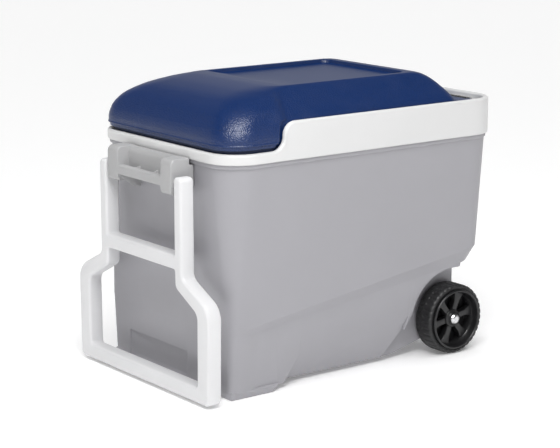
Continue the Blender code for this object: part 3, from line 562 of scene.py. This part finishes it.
def mirrored_path(path):
    return [(x, -y, nx, -ny, z, mx, mz) for x, y, nx, ny, z, mx, mz in reversed(path)]


def collar_path():
    """The collar's outer line, all round: x, y, sideways normal, the top edge's height and its normal."""
    end, corner = HALF_LENGTH - COLLAR_CORNER, HALF_WIDTH - COLLAR_CORNER
    side = [(end - SIDE_SPACING * k, COLLAR_HIGH_TOP, 0, 1) for k in range(SIDE_POINTS)]
    side += reversed(step_curve())
    side.append((SIDE_FRONT_X, COLLAR_LOW_TOP, 0, 1))
    path = [(x, HALF_WIDTH, 0, 1, z, nx, nz) for x, z, nx, nz in side]
    path += collar_corner(-end, corner, 90, 180, COLLAR_LOW_TOP)
    rear = collar_corner(end, -corner, -90, 0, COLLAR_HIGH_TOP)[1:]
    return path + mirrored_path(path) + rear + mirrored_path(rear)


def collar_section(over, x, y, nx, ny, top, mx, mz):
    """The wall's outline at one point of the path: up the outside, over the crown and down the inside."""

    def place(inset, height):
        return (x - nx * inset, y - ny * inset, height)

    low_inner = min(DECK_TOP + 0.001, top - COLLAR_CROWN)
    section = [place(inset, height) for inset, height in COLLAR_FOOT]
    section.append(place(0, min(COLLAR_WAIST, top - COLLAR_CROWN - 0.001)))
    for inset, drop in over:
        section.append((x - nx * inset - mx * drop, y - ny * inset, top - mz * drop))
    section.append(place(COLLAR_WALL, low_inner))
    section.append(place(COLLAR_WALL + 0.001, min(DECK_TOP, low_inner)))
    section.append(place(FOOT_INSET, DECK_TOP))
    section.append(place(FOOT_INSET, COLLAR_BOTTOM))
    return section


def collar():
    """White rim: a deck round the food tub and an outer wall, rounded over along its stepped top."""
    turn = [math.radians(15 * k) for k in range(7)]
    over = [(COLLAR_CROWN * (1 - math.cos(a)), COLLAR_CROWN * (1 - math.sin(a))) for a in turn]
    over += [(COLLAR_WALL - inset, drop) for inset, drop in reversed(over)]
    sections = [collar_section(over, *spot) for spot in collar_path()]
    wall = closed_ring("rim_collar_soft", sections, "collar_white", COLLAR_ANGLE)
    deck = prism("deck", round_box(*DECK), COLLAR_BOTTOM + DECK_SINK, DECK_TOP - DECK_SINK)
    cut(deck, prism("mouth", round_box(*MOUTH), COLLAR_BOTTOM - CUTTER_REACH, DECK_TOP + CUTTER_REACH))
    bevel(deck, 0.0012, angle=40)
    join(wall, deck)
    settle(smooth(wall, COLLAR_ANGLE), "cooler_body", "collar_white", "rim_collar")


# ---------------------------------------------------------------- lid

LID_TOP = 0.473
LID_WALL = 0.003
LID_ANGLE = 60
# Height, front end, rear end, half width behind the shoulders, half width at the shoulders, corner radius.
LID_LEVELS = (
    (0.3915, -0.2735, 0.2650, 0.1755, 0.1812, 0.0450),
    (0.3962, -0.2748, 0.2652, 0.1758, 0.1822, 0.0462),
    (0.3970, -0.2766, 0.2655, 0.1760, 0.1840, 0.0478),
    (0.3986, -0.2770, 0.2655, 0.1760, 0.1845, 0.0482),
    (0.3998, -0.2764, 0.2655, 0.1760, 0.1838, 0.0480),
    (0.4035, -0.2764, 0.2655, 0.1760, 0.1838, 0.0480),
    (0.4080, -0.2762, 0.2655, 0.1760, 0.1835, 0.0480),
    (0.4150, -0.2745, 0.2655, 0.1760, 0.1820, 0.0470),
    (0.4210, -0.2722, 0.2648, 0.1758, 0.1798, 0.0462),
    (0.4216, -0.2719, 0.2630, 0.1757, 0.1795, 0.0460),
    (0.4218, -0.2718, 0.2060, 0.1757, 0.1794, 0.0450),
    (0.4225, -0.2714, 0.2038, 0.1756, 0.1790, 0.0440),
    (0.4262, -0.2692, 0.2012, 0.1752, 0.1775, 0.0430),
    (0.4310, -0.2660, 0.1988, 0.1735, 0.1755, 0.0430),
    (0.4360, -0.2622, 0.1966, 0.1685, 0.1726, 0.0436),
    (0.4410, -0.2580, 0.1942, 0.1622, 0.1688, 0.0446),
    (0.4460, -0.2520, 0.1914, 0.1555, 0.1640, 0.0456),
    (0.4500, -0.2463, 0.1888, 0.1500, 0.1590, 0.0464),
    (0.4545, -0.2380, 0.1856, 0.1440, 0.1530, 0.0474),
    (0.4585, -0.2290, 0.1822, 0.1387, 0.1470, 0.0480),
    (0.4620, -0.2180, 0.1788, 0.1338, 0.1410, 0.0480),
    (0.4650, -0.2050, 0.1752, 0.1296, 0.1352, 0.0470),
    (0.4680, -0.1890, 0.1706, 0.1250, 0.1290, 0.0440),
    (0.4702, -0.1730, 0.1660, 0.1214, 0.1236, 0.0400),
    (0.4718, -0.1580, 0.1602, 0.1180, 0.1186, 0.0350),
    (0.4727, -0.1470, 0.1562, 0.1152, 0.1152, 0.0310),
    (LID_TOP, -0.1400, 0.1530, 0.1125, 0.1125, 0.0280),
)
LEVEL_STEPS = 3
INNER_LEVELS = (17, 14, 7, 1)
INNER_TOP_LEVEL, INNER_TOP_Z = 20, 0.4585
FLANGE_REAR_FROM, FLANGE_CORNER = 0.26, 0.075
CROWN_CORNER_LOW, CROWN_CORNER_HIGH = 0.026, 0.018
CROWN_FROM = 0.430
# The step behind the shoulders: its gap to the collar's rise, its length low on the lid, how much longer
# it is above, and the heights between which it grows.
STEP_GAP, STEP_REACH, STEP_REACH_MORE = 0.0015, 0.005, 0.025
STEP_SOFTENS = (0.415, 0.450)
# The valley behind the step: its line above the collar, its depth and length, and the heights between
# which it deepens and ends.
VALLEY_X, VALLEY_SLOPE = -0.1520, 0.55
VALLEY_DEPTH, VALLEY_LENGTH = 0.0035, 0.045
VALLEY_STARTS, VALLEY_ENDS = (0.424, 0.434), (0.460, 0.470)
LID_FRACTIONS = [0.005 * k for k in range(1, 51)] + [0.25 + 0.03 * k for k in range(1, 25)]
# Front end, rear end, half width and corner radius of the tray, and where its floor sinks along x.
TRAY = (-0.126, 0.140, 0.105, 0.016)
TRAY_SINKS = (-0.120, -0.078)
TRAY_LEAST_CORNER = 0.004
# The tray's wall and floor, as insets and depths.
TRAY_WALL = (
    (-0.0022, 0.0), (-0.0008, 0.0002), (0.0002, 0.0008), (0.0008, 0.0018), (0.0012, 0.0038), (0.0018, 0.0050),
    (0.0028, 0.0057), (0.0045, 0.0060), (0.0120, 0.0060), (0.0350, 0.0060), (0.0700, 0.0060),
    (0.0950, 0.0060),
)
HINGE_Y, NOTCH_HALF = 0.105, 0.027
NOTCH_X, NOTCH_Z = (0.2515, 0.28), (0.37, 0.426)


def step_x(z):
    """Where the collar's S-shaped rise stands at a height, and above it where the valley runs up the lid."""
    if z >= COLLAR_HIGH_TOP:
        return VALLEY_X + (z - COLLAR_HIGH_TOP) * VALLEY_SLOPE
    rise = z - COLLAR_LOW_TOP
    if rise <= STEP_RADIUS:
        return STEP_MIDDLE_X - STEP_RADIUS + math.sqrt(max(STEP_RADIUS ** 2 - (STEP_RADIUS - rise) ** 2, 0))
    return STEP_MIDDLE_X + STEP_RADIUS - math.sqrt(max(STEP_RADIUS ** 2 - (rise - STEP_RADIUS) ** 2, 0))


def lid_ring(t, shrink=0.0, z=None):
    """The lid's outline at a fractional level. The rear end runs straight from level to level."""
    height, front, _, narrow, wide, corner = [spline(column, t) for column in zip(*LID_LEVELS)]
    k = min(int(t), len(LID_LEVELS) - 2)
    rear = LID_LEVELS[k][2] + (LID_LEVELS[k + 1][2] - LID_LEVELS[k][2]) * (t - k)
    edge = step_x(height) - STEP_GAP
    reach = STEP_REACH + STEP_REACH_MORE * ramp(height, *STEP_SOFTENS)
    valley = VALLEY_DEPTH * ramp(height, *VALLEY_STARTS) * (1 - ramp(height, *VALLEY_ENDS))

    def half_width(x):
        behind = ramp(x, edge - reach, edge)
        sunk = valley * behind * (1 - ramp(x, edge, edge + VALLEY_LENGTH))
        return wide + (narrow - wide) * behind - sunk - shrink

    level = height - shrink if z is None else z
    rise = ramp(height, CROWN_FROM, LID_TOP)
    rear_corner = CROWN_CORNER_LOW + (CROWN_CORNER_HIGH - CROWN_CORNER_LOW) * rise
    if rear > FLANGE_REAR_FROM:
        rear_corner = FLANGE_CORNER
    return tub_ring(
        front + shrink, rear - shrink, half_width, corner - shrink, rear_corner - shrink, lambda x: level,
        LID_FRACTIONS, steps=10, across=10,
    )


def tray_ring(inset, depth):
    front, rear, half, corner = TRAY
    radius = max(corner - inset, TRAY_LEAST_CORNER)
    return tub_ring(
        front + inset, rear - inset, lambda x: half - inset, radius, radius,
        lambda x: LID_TOP - depth * ramp(x, *TRAY_SINKS), LID_FRACTIONS, steps=10, across=10,
    )


def lid():
    """Domed cover with wide shoulders, valleys behind them, a ridge round the nose and a tray on top."""
    rings = [lid_ring(INNER_TOP_LEVEL, LID_WALL, INNER_TOP_Z)]
    rings += [lid_ring(level, LID_WALL) for level in INNER_LEVELS]
    rings.append(lid_ring(0, LID_WALL, LID_LEVELS[0][0]))
    rings += [lid_ring(row / LEVEL_STEPS) for row in range((len(LID_LEVELS) - 1) * LEVEL_STEPS + 1)]
    rings += [tray_ring(inset, depth) for inset, depth in TRAY_WALL]
    cover = loft("lid_cover", rings, "lid_blue", mirrored=True, angle=LID_ANGLE)
    for side in (1, -1):
        middle = side * HINGE_Y
        low = (NOTCH_X[0], middle - NOTCH_HALF, NOTCH_Z[0])
        high = (NOTCH_X[1], middle + NOTCH_HALF, NOTCH_Z[1])
        cut(cover, box("notch", low, high))
    settle(smooth(cover, LID_ANGLE), "lid", "lid_blue", "lid_shell")


# ---------------------------------------------------------------- wheels

WHEEL_RADIUS = 0.059
WHEEL_WIDTH = 0.042
WHEEL_X = 0.195
WHEEL_OUTER_Y = 0.182
TREAD_WALL = 0.006
LUGS = 34
STEPS_PER_LUG = 10
# Groove depths, their sides as parts of a lug's turn, and the y between which they deepen and end.
GROOVE_DEPTH, OFFSET_DEPTH = 0.0011, 0.0008
GROOVE_SIDES, OFFSET_SIDES = (0.28, 0.36), (0.34, 0.40)
GROOVE_STARTS, OFFSET_STARTS, OFFSET_ENDS = (0.0185, 0.0195), (0.0055, 0.0065), (0.0125, 0.0135)
# The tyre's two shoulders, as radius and y, and the first y, spacing and count of the rows between them.
TYRE_INNER = ((0.0480, 0.0005), (0.0530, 0.0002), (0.0565, 0.0010), (0.0583, 0.0030), (0.0589, 0.0055))
TYRE_OUTER = (
    (0.0588, 0.0342), (0.0581, 0.0358), (0.0570, 0.0370), (0.0557, 0.0376), (0.0543, 0.0377),
    (0.0533, 0.0372), (0.0528, 0.0366), (0.0515, 0.0366), (0.0503, 0.0362), (0.0480, 0.0362),
)
TREAD_FROM, TREAD_SPACING, TREAD_ROWS = 0.0065, 0.0010, 27
RIM_INNER = 0.0425
RIM_ANGLE = 50
RIM_STEPS, HUB_STEPS = 96, 48
# The rim's barrel, rolled lip and dish, and then the hub, as radius and y.
BARREL = (
    (RIM_INNER, 0.0030), (0.0474, 0.0030), (0.0475, 0.0364), (0.0480, 0.0372), (0.0496, 0.0376),
    (0.0503, 0.0384), (0.0505, 0.0396), (0.0502, 0.0408), (0.0494, 0.0417), (0.0484, 0.0420),
    (0.0475, 0.0417), (0.0469, 0.0409), (0.0465, 0.0396), (0.0460, 0.0360), (0.0452, 0.0320),
    (0.0440, 0.0290), (0.0430, 0.0275),
)
HUB_RADIUS = 0.0115
BUSH_RADIUS = 0.0078
HUB = (
    (BUSH_RADIUS, 0.001), (HUB_RADIUS, 0.001), (HUB_RADIUS, 0.0235), (0.0150, 0.0240), (0.0155, 0.0248),
    (0.0152, 0.0300), (0.0142, 0.0308), (0.0112, 0.0312), (0.0106, 0.0320), (0.0104, 0.0332),
    (0.0098, 0.0338), (BUSH_RADIUS, 0.0338),
)
OVERLAP = 0.001
WEB_BACK, WEB_FRONT = 0.0105, 0.0135
SPOKES, FIRST_SPOKE_ANGLE = 6, 10
SPOKE_BACK, SPOKE_FRONT = 0.0165, 0.0285
SPOKE_WAIST_RADIUS = 0.030
SPOKE_END_RADIUS = RIM_INNER + 0.0016
SPOKE_BENDS = (0, 0.02, 0)
# Half widths of a spoke at the hub, at its waist and at the rim.
SPOKE_HALVES = (0.0048, 0.0052, 0.0098)


def turned(name, profile, count, look=None, radius_of=None, angle=SMOOTH_ANGLE):
    """A ring turned about Y through the origin. radius_of may change a radius with the turn's angle and y."""
    sections = []
    for k in range(count):
        a = 2 * math.pi * k / count
        radii = [radius_of(r, y, a) if radius_of else r for r, y in profile]
        sections.append([(r * math.cos(a), y, r * math.sin(a)) for r, (_, y) in zip(radii, profile)])
    return closed_ring(name, sections, look, angle)


def tread_radius(r, y, a):
    """Shallow grooves across the tread: deep ones at the outer shoulder, short offset ones further in."""
    if r < WHEEL_RADIUS - TREAD_WALL:
        return r
    turn = (a * LUGS / (2 * math.pi)) % 1.0
    groove = ramp(abs(turn - 0.5), *GROOVE_SIDES) * ramp(y, *GROOVE_STARTS)
    offset = ramp(abs((turn + 0.5) % 1.0 - 0.5), *OFFSET_SIDES)
    offset *= ramp(y, *OFFSET_STARTS) * (1 - ramp(y, *OFFSET_ENDS))
    return r - GROOVE_DEPTH * groove - OFFSET_DEPTH * offset


def tyre(name):
    tread = tuple((WHEEL_RADIUS, TREAD_FROM + TREAD_SPACING * k) for k in range(TREAD_ROWS))
    profile = TYRE_INNER + tread + TYRE_OUTER
    return turned(name, profile, LUGS * STEPS_PER_LUG, "tread_black", tread_radius, 40)


def rim(name):
    """Rim with a rolled outer lip, a deep dish, a hub, and six tapered spokes in front of a closed web."""
    barrel = turned(name, BARREL, RIM_STEPS, "wheel_black", angle=RIM_ANGLE)
    hub = turned("hub", HUB, HUB_STEPS)
    near, far = HUB_RADIUS - OVERLAP, RIM_INNER + OVERLAP
    web = ((near, WEB_BACK), (far, WEB_BACK), (far, WEB_FRONT), (near, WEB_FRONT))
    join(hub, turned("web", web, RIM_STEPS))
    for k in range(SPOKES):
        join(hub, spoke(k))
    return smooth(join(barrel, hub), RIM_ANGLE)


def spoke(index):
    radii = (HUB_RADIUS - OVERLAP, SPOKE_WAIST_RADIUS, SPOKE_END_RADIUS)
    low = [(r, -half, bend) for r, half, bend in zip(radii, SPOKE_HALVES, SPOKE_BENDS)]
    high = [(r, half, bend) for r, half, bend in zip(radii, SPOKE_HALVES, SPOKE_BENDS)]
    made = prism("spoke", rounded(low + high[::-1], 4), SPOKE_BACK, SPOKE_FRONT, "Y")
    bevel(made, 0.0009, angle=40)
    made.data.transform(Matrix.Rotation(math.radians(FIRST_SPOKE_ANGLE + 360 * index / SPOKES), 4, "Y"))
    return made


def wheels():
    for side_name, side in (("left", 1), ("right", -1)):
        turn = Matrix.Rotation(0 if side > 0 else math.pi, 4, "Z")
        place = Matrix.Translation((WHEEL_X, side * (WHEEL_OUTER_Y - WHEEL_WIDTH), WHEEL_RADIUS)) @ turn
        body = f"wheel_{side_name}"
        for obj, slot, replaced in (
            (tyre(f"lugged_tread_{side_name}"), "tread_black", f"wheel_tread_{side_name}"),
            (rim(f"dished_rim_{side_name}"), "wheel_black", f"wheel_rim_{side_name}"),
        ):
            obj.data.transform(place)
            settle(obj, body, slot, replaced)


# ---------------------------------------------------------------- body

BODY_TOP = COLLAR_BOTTOM - 0.0003
BODY_REAR = 0.221
# Stretch of x over which the lower sides step in behind the front end.
PINCH = (-0.247, -0.190)
# Height at the front, where the rise to the wheels starts, and its slope.
UNDERSIDE = (0.008, 0.086, 0.24)
# Height at the middle and slope of the side stripe and of the chamfer's top edge.
STRIPE = (0.126, 0.115)
SHOULDER = (0.144, 0.14)
BODY_FRACTIONS = [0.02 * k for k in range(1, 50)]
WELL_INNER_Y = 0.1372
WELL_RADIUS = 0.086
WELL_END_ANGLE, WELL_STEPS = 166, 26
WELL_FOOT_X, WELL_REAR = 0.052, 0.30
BELOW_BODY, OUTSIDE_BODY = -0.008, 0.25


def underside(x):
    low, start, slope = UNDERSIDE
    return low + max(0.0, x - start) * slope


def stripe(x):
    return STRIPE[0] + STRIPE[1] * x


def shoulder(x):
    return SHOULDER[0] + SHOULDER[1] * x


# Front end, rear end, half width, how much of it the pinch takes, front corner, rear corner, the line that
# the ring follows and its height above that line.
BODY_LEVELS = (
    (-0.2588, BODY_REAR - 0.0030, 0.1650, 0.0065, 0.0125, 0.0090, underside, 0.0),
    (-0.2611, BODY_REAR - 0.0008, 0.1672, 0.0065, 0.0135, 0.0100, underside, 0.0009),
    (-0.2620, BODY_REAR, 0.1680, 0.0065, 0.0140, 0.0110, underside, 0.0034),
    (-0.2635, BODY_REAR, 0.1715, 0.0065, 0.0140, 0.0120, stripe, -0.0035),
    (-0.2636, BODY_REAR + 0.0006, 0.1716, 0.0065, 0.0140, 0.0122, stripe, -0.0012),
    (-0.2636, 0.2240, 0.1719, 0.0065, 0.0140, 0.0180, stripe, 0.0002),
    (-0.2637, 0.2430, 0.1717, 0.0060, 0.0145, 0.0300, stripe, 0.0014),
    (-0.2640, 0.2555, 0.1733, 0.0008, 0.0160, 0.0320, shoulder, -0.0020),
    (-0.2640, 0.2568, 0.1735, 0.0001, 0.0160, 0.0320, shoulder, -0.0004),
    (-0.2641, 0.2571, 0.1736, 0.0, 0.0162, 0.0322, shoulder, 0.0014),
)
# Front end, rear end, half width, corner radius and height of the wall's top and the lip under the collar.
LIP_LEVELS = (
    (-0.2730, 0.2750, 0.1810, 0.0500, 0.3622),
    (-0.2733, 0.2753, 0.1813, 0.0502, 0.3627),
    (-0.2745, 0.2762, 0.1826, 0.0512, 0.3631),
    (-0.2758, 0.2765, 0.1838, 0.0520, 0.3638),
    (-0.2764, 0.2765, 0.1844, 0.0525, 0.3650),
    (-0.2765, 0.2765, 0.1845, 0.0525, 0.3670),
    (-0.2765, 0.2765, 0.1845, 0.0525, BODY_TOP),
)
# The same two tables for the hollow inside, whose base stands between the wheel wells.
CAVITY_LEVELS = (
    (-0.2460, BODY_REAR - 0.005, WELL_INNER_Y - 0.005, 0.0, 0.0080, 0.0080, underside, 0.004),
    (-0.2460, BODY_REAR - 0.005, WELL_INNER_Y - 0.005, 0.0, 0.0080, 0.0080, shoulder, 0.003),
    (-0.2605, 0.2535, 0.1700, 0.0, 0.0125, 0.0290, shoulder, 0.004),
)
CAVITY_LIP_LEVELS = (
    (-0.2695, 0.2715, 0.1775, 0.0465, 0.3625),
    (-0.2695, 0.2715, 0.1775, 0.0465, 0.3800),
)
# One side's undercut: its upper edge on the body and outside it, then its lower edge.
UNDERCUT = (
    (-0.124, 0.1635, 0.0544), (0.1015, 0.1635, 0.0779), (-0.124, 0.23, 0.070), (0.1015, 0.23, 0.095),
    (-0.160, WELL_INNER_Y - 0.0004, -0.004), (0.078, WELL_INNER_Y - 0.0004, -0.004), (-0.170, 0.23, -0.004),
    (0.060, 0.23, -0.004),
)
# The grip pocket's outline at its mouth and at its floor, as y, z and corner radius.
POCKET_MOUTH = ((-0.048, 0.010, 0.002), (0.116, 0.010, 0.002), (0.116, 0.055, 0.004), (-0.048, 0.055, 0.004))
POCKET_FLOOR = ((-0.045, 0.014, 0.002), (0.096, 0.014, 0.002), (0.104, 0.052, 0.003), (-0.045, 0.052, 0.003))
POCKET_X = (-0.275, -0.2608, -0.2572)
FOOT_INNER_Y, FOOT_OUTER_Y = 0.125, 0.1665
# One foot's outline in x and z.
FOOT_OUTLINE = ((-0.2608, 0.0), (-0.181, 0.0), (-0.166, 0.0120), (-0.2608, 0.0120))
AXLE_WAY_RADIUS = 0.0053


def body_ring(front, rear, half, pinch, front_corner, rear_corner, line, above):
    return tub_ring(
        front, rear, lambda x: half - pinch * ramp(x, *PINCH), front_corner, rear_corner,
        lambda x: line(x) + above, BODY_FRACTIONS, steps=12, across=6,
    )


def level_ring(front, rear, half, corner, z):
    return body_ring(front, rear, half, 0.0, corner, corner, lambda x: z, 0.0)


def body_outer():
    """Drafted tub over a lower part that a slanting chamfer sets back, with a lip under the collar."""
    rings = [body_ring(*level) for level in BODY_LEVELS]
    rings += [level_ring(*level) for level in LIP_LEVELS]
    return loft("moulded_body", rings, "body_grey", mirrored=True, angle=30)


def body_cavity():
    """The hollow inside the shell, above a solid base between the wheel wells."""
    rings = [body_ring(*level) for level in CAVITY_LEVELS]
    rings += [level_ring(*level) for level in CAVITY_LIP_LEVELS]
    return loft("cavity", rings, mirrored=True)


def hull(name, points):
    """The smallest convex solid round some points."""
    shape = bmesh.new()
    for point in points:
        shape.verts.new(point)
    made = bmesh.ops.convex_hull(shape, input=shape.verts)
    loose = {e for e in made["geom_interior"] + made["geom_unused"] if isinstance(e, bmesh.types.BMVert)}
    bmesh.ops.delete(shape, geom=list(loose), context="VERTS")
    bmesh.ops.recalc_face_normals(shape, faces=shape.faces)
    mesh = bpy.data.meshes.new(name)
    shape.to_mesh(mesh)
    shape.free()
    obj = bpy.data.objects.new(name, mesh)
    bpy.context.scene.collection.objects.link(obj)
    return obj


def wheel_well(side):
    outline = arc((WHEEL_X, WHEEL_RADIUS), WELL_RADIUS, 90, WELL_END_ANGLE, WELL_STEPS)
    outline.append((WELL_FOOT_X, BELOW_BODY))
    outline.append((WELL_REAR, BELOW_BODY))
    outline.append((WELL_REAR, WHEEL_RADIUS + WELL_RADIUS))
    return prism("well", outline, *span(side, WELL_INNER_Y, OUTSIDE_BODY), "Y")


def side_undercut(side):
    """The sloping facet low on the side, between the front foot and the wheel well."""
    return hull("undercut", [(x, side * y, z) for x, y, z in UNDERCUT])


def grip_pocket():
    outlines = [rounded(outline, 4) for outline in (POCKET_MOUTH, POCKET_MOUTH, POCKET_FLOOR)]
    return loft("pocket", [[(x, y, z) for y, z in outline] for x, outline in zip(POCKET_X, outlines)])


def foot(side):
    return bevel(prism("foot", FOOT_OUTLINE, *span(side, FOOT_INNER_Y, FOOT_OUTER_Y), "Y"), 0.0015)


def body():
    shell = body_outer()
    join(shell, foot(1), foot(-1))
    cut(shell, wheel_well(1), wheel_well(-1), side_undercut(1), side_undercut(-1), grip_pocket())
    bevel(shell, 0.0011, angle=26)
    cut(shell, body_cavity())
    way = circle((WHEEL_X, WHEEL_RADIUS), AXLE_WAY_RADIUS, 24)
    cut(shell, prism("axle_way", way, -OUTSIDE_BODY, OUTSIDE_BODY, "Y"))
    settle(smooth(shell, 32), "cooler_body", "body_grey", "body_shell")


# ---------------------------------------------------------------- carrying bracket and pull handle

HANDLE_FRONT = -0.317
HANDLE_BACK = -0.291
PIVOT = ((HANDLE_FRONT + HANDLE_BACK) / 2, 0.334)
BRACKET_BACK = -0.2736
RECESS_WALL = -0.2950
RECESS_TOP, RECESS_BOTTOM, RECESS_OVERLAP = 0.3725, 0.326, 0.003
# Above this height the bracket stays in front of this x, clear of the body's lip and the collar.
LIP_CLEAR_X, LIP_CLEAR_Z = -0.2815, 0.3615
EAR_INNER, EAR_OUTER = 0.061, 0.090
EAR_TOP, EAR_BOTTOM = 0.373, 0.318
BAR_BACK, BAR_LOW, BAR_HIGH, BAR_HALF = -0.303, 0.329, 0.344, 0.066
# One gusset's and one rib's outline in x and z.
GUSSET = ((-0.2745, 0.3060), (-0.2860, 0.3060), (-0.3150, 0.3270), (-0.3150, 0.3320), (-0.2745, 0.3320))
RIB_ROOT = RECESS_WALL + 0.001
RIB = ((RIB_ROOT, 0.3300), (-0.3040, 0.3310), (-0.3040, 0.3425), (RIB_ROOT, 0.3460))
GUSSET_INNER, GUSSET_OUTER = 0.0585, 0.0607
RIB_MIDDLES, RIB_HALF = (-0.022, 0.028), 0.0012
EAR_BORE_RADIUS, EAR_BORE_DEPTH = 0.0051, 0.0243
ARM_BORE_RADIUS, ARM_BORE_FROM, ARM_BORE_TO = 0.0053, 0.086, 0.1113
BORE_STEPS = 32
# The left half of the handle's outline and of the window in its grip loop, as y, z and corner radius.
HANDLE_OUTLINE = (
    (0.096, 0.226, 0.003), (0.096, 0.348, 0.006), (0.116, 0.348, 0.008), (0.116, 0.192, 0.016),
    (0.1870, 0.157, 0.034), (0.1845, 0.0050, 0.009),
)
HANDLE_WINDOW = ((0.096, 0.2035, 0.004), (0.097, 0.175, 0.014), (0.155, 0.144, 0.016), (0.154, 0.029, 0.006))
HANDLE_FACET, HANDLE_EDGE = 0.0048, 0.0010


def ear(front, top, bottom, low, high):
    """One ear of the bracket, or the wall between them, notched round the collar and the body's lip."""
    outline = rounded(
        [
            (BRACKET_BACK, bottom + 0.010, 0), (BRACKET_BACK, LIP_CLEAR_Z, 0), (LIP_CLEAR_X, LIP_CLEAR_Z, 0),
            (LIP_CLEAR_X, top, 0.002), (front, top, 0.010), (front, bottom, 0.006),
            (BRACKET_BACK - 0.012, bottom, 0),
        ],
        8,
    )
    return bevel(prism("ear", outline, low, high, "Y"), 0.0022, 3, 50)


def lifting_bar():
    outline = [
        (HANDLE_FRONT, BAR_LOW, 0.003), (BAR_BACK, BAR_LOW, 0.003), (BAR_BACK, BAR_HIGH, 0.004),
        (HANDLE_FRONT, BAR_HIGH, 0.004),
    ]
    return prism("bar", rounded(outline, 5), -BAR_HALF, BAR_HALF, "Y")


def pivot_bore(side, radius, inner, outer):
    return prism("bore", circle(PIVOT, radius, BORE_STEPS), *span(side, inner, outer), "Y")


def bracket():
    """Two ears with a wall and a lifting bar between them, gussets at the ears and ribs behind the bar."""
    reach = EAR_INNER + RECESS_OVERLAP
    plate = ear(RECESS_WALL, RECESS_TOP, RECESS_BOTTOM, -reach, reach)
    plate.name = "lifting_bracket"
    join(plate, lifting_bar())
    for side in (1, -1):
        join(plate, ear(HANDLE_FRONT, EAR_TOP, EAR_BOTTOM, *span(side, EAR_INNER, EAR_OUTER)))
        join(plate, prism("gusset", GUSSET, *span(side, GUSSET_INNER, GUSSET_OUTER), "Y"))
    for y in RIB_MIDDLES:
        join(plate, prism("rib", RIB, y - RIB_HALF, y + RIB_HALF, "Y"))
    for side in (1, -1):
        cut(plate, pivot_bore(side, EAR_BORE_RADIUS, EAR_OUTER - EAR_BORE_DEPTH, EAR_OUTER + CUTTER_REACH))
    plate.data.materials.clear()
    plate.data.materials.append(LOOKS["bracket_grey"])
    settle(smooth(bevel(plate, 0.0006), 40), "cooler_body", "bracket_grey", "carry_bracket")


def mirrored_outline(left):
    return rounded([*left, *((-y, z, radius) for y, z, radius in reversed(left))], 8)


def handle():
    """Flat white frame with an octagonal section: two arms, a crossbar and a wider grip loop."""
    outline, window = mirrored_outline(HANDLE_OUTLINE), mirrored_outline(HANDLE_WINDOW)
    bars = prism("swing_handle", outline, HANDLE_FRONT, HANDLE_BACK, "X", "handle_white")
    cut(bars, prism("window", window, HANDLE_FRONT - CUTTER_REACH, HANDLE_BACK + CUTTER_REACH, "X"))
    bevel(bars, HANDLE_FACET, 1, 60)
    bevel(bars, HANDLE_EDGE)
    for side in (1, -1):
        cut(bars, pivot_bore(side, ARM_BORE_RADIUS, ARM_BORE_FROM, ARM_BORE_TO))
    settle(smooth(bars, 40), "handle", "handle_white", "pull_handle")


dress_frame()
stage()
lighting()
camera()
collar()
lid()
wheels()
body()
bracket()
handle()
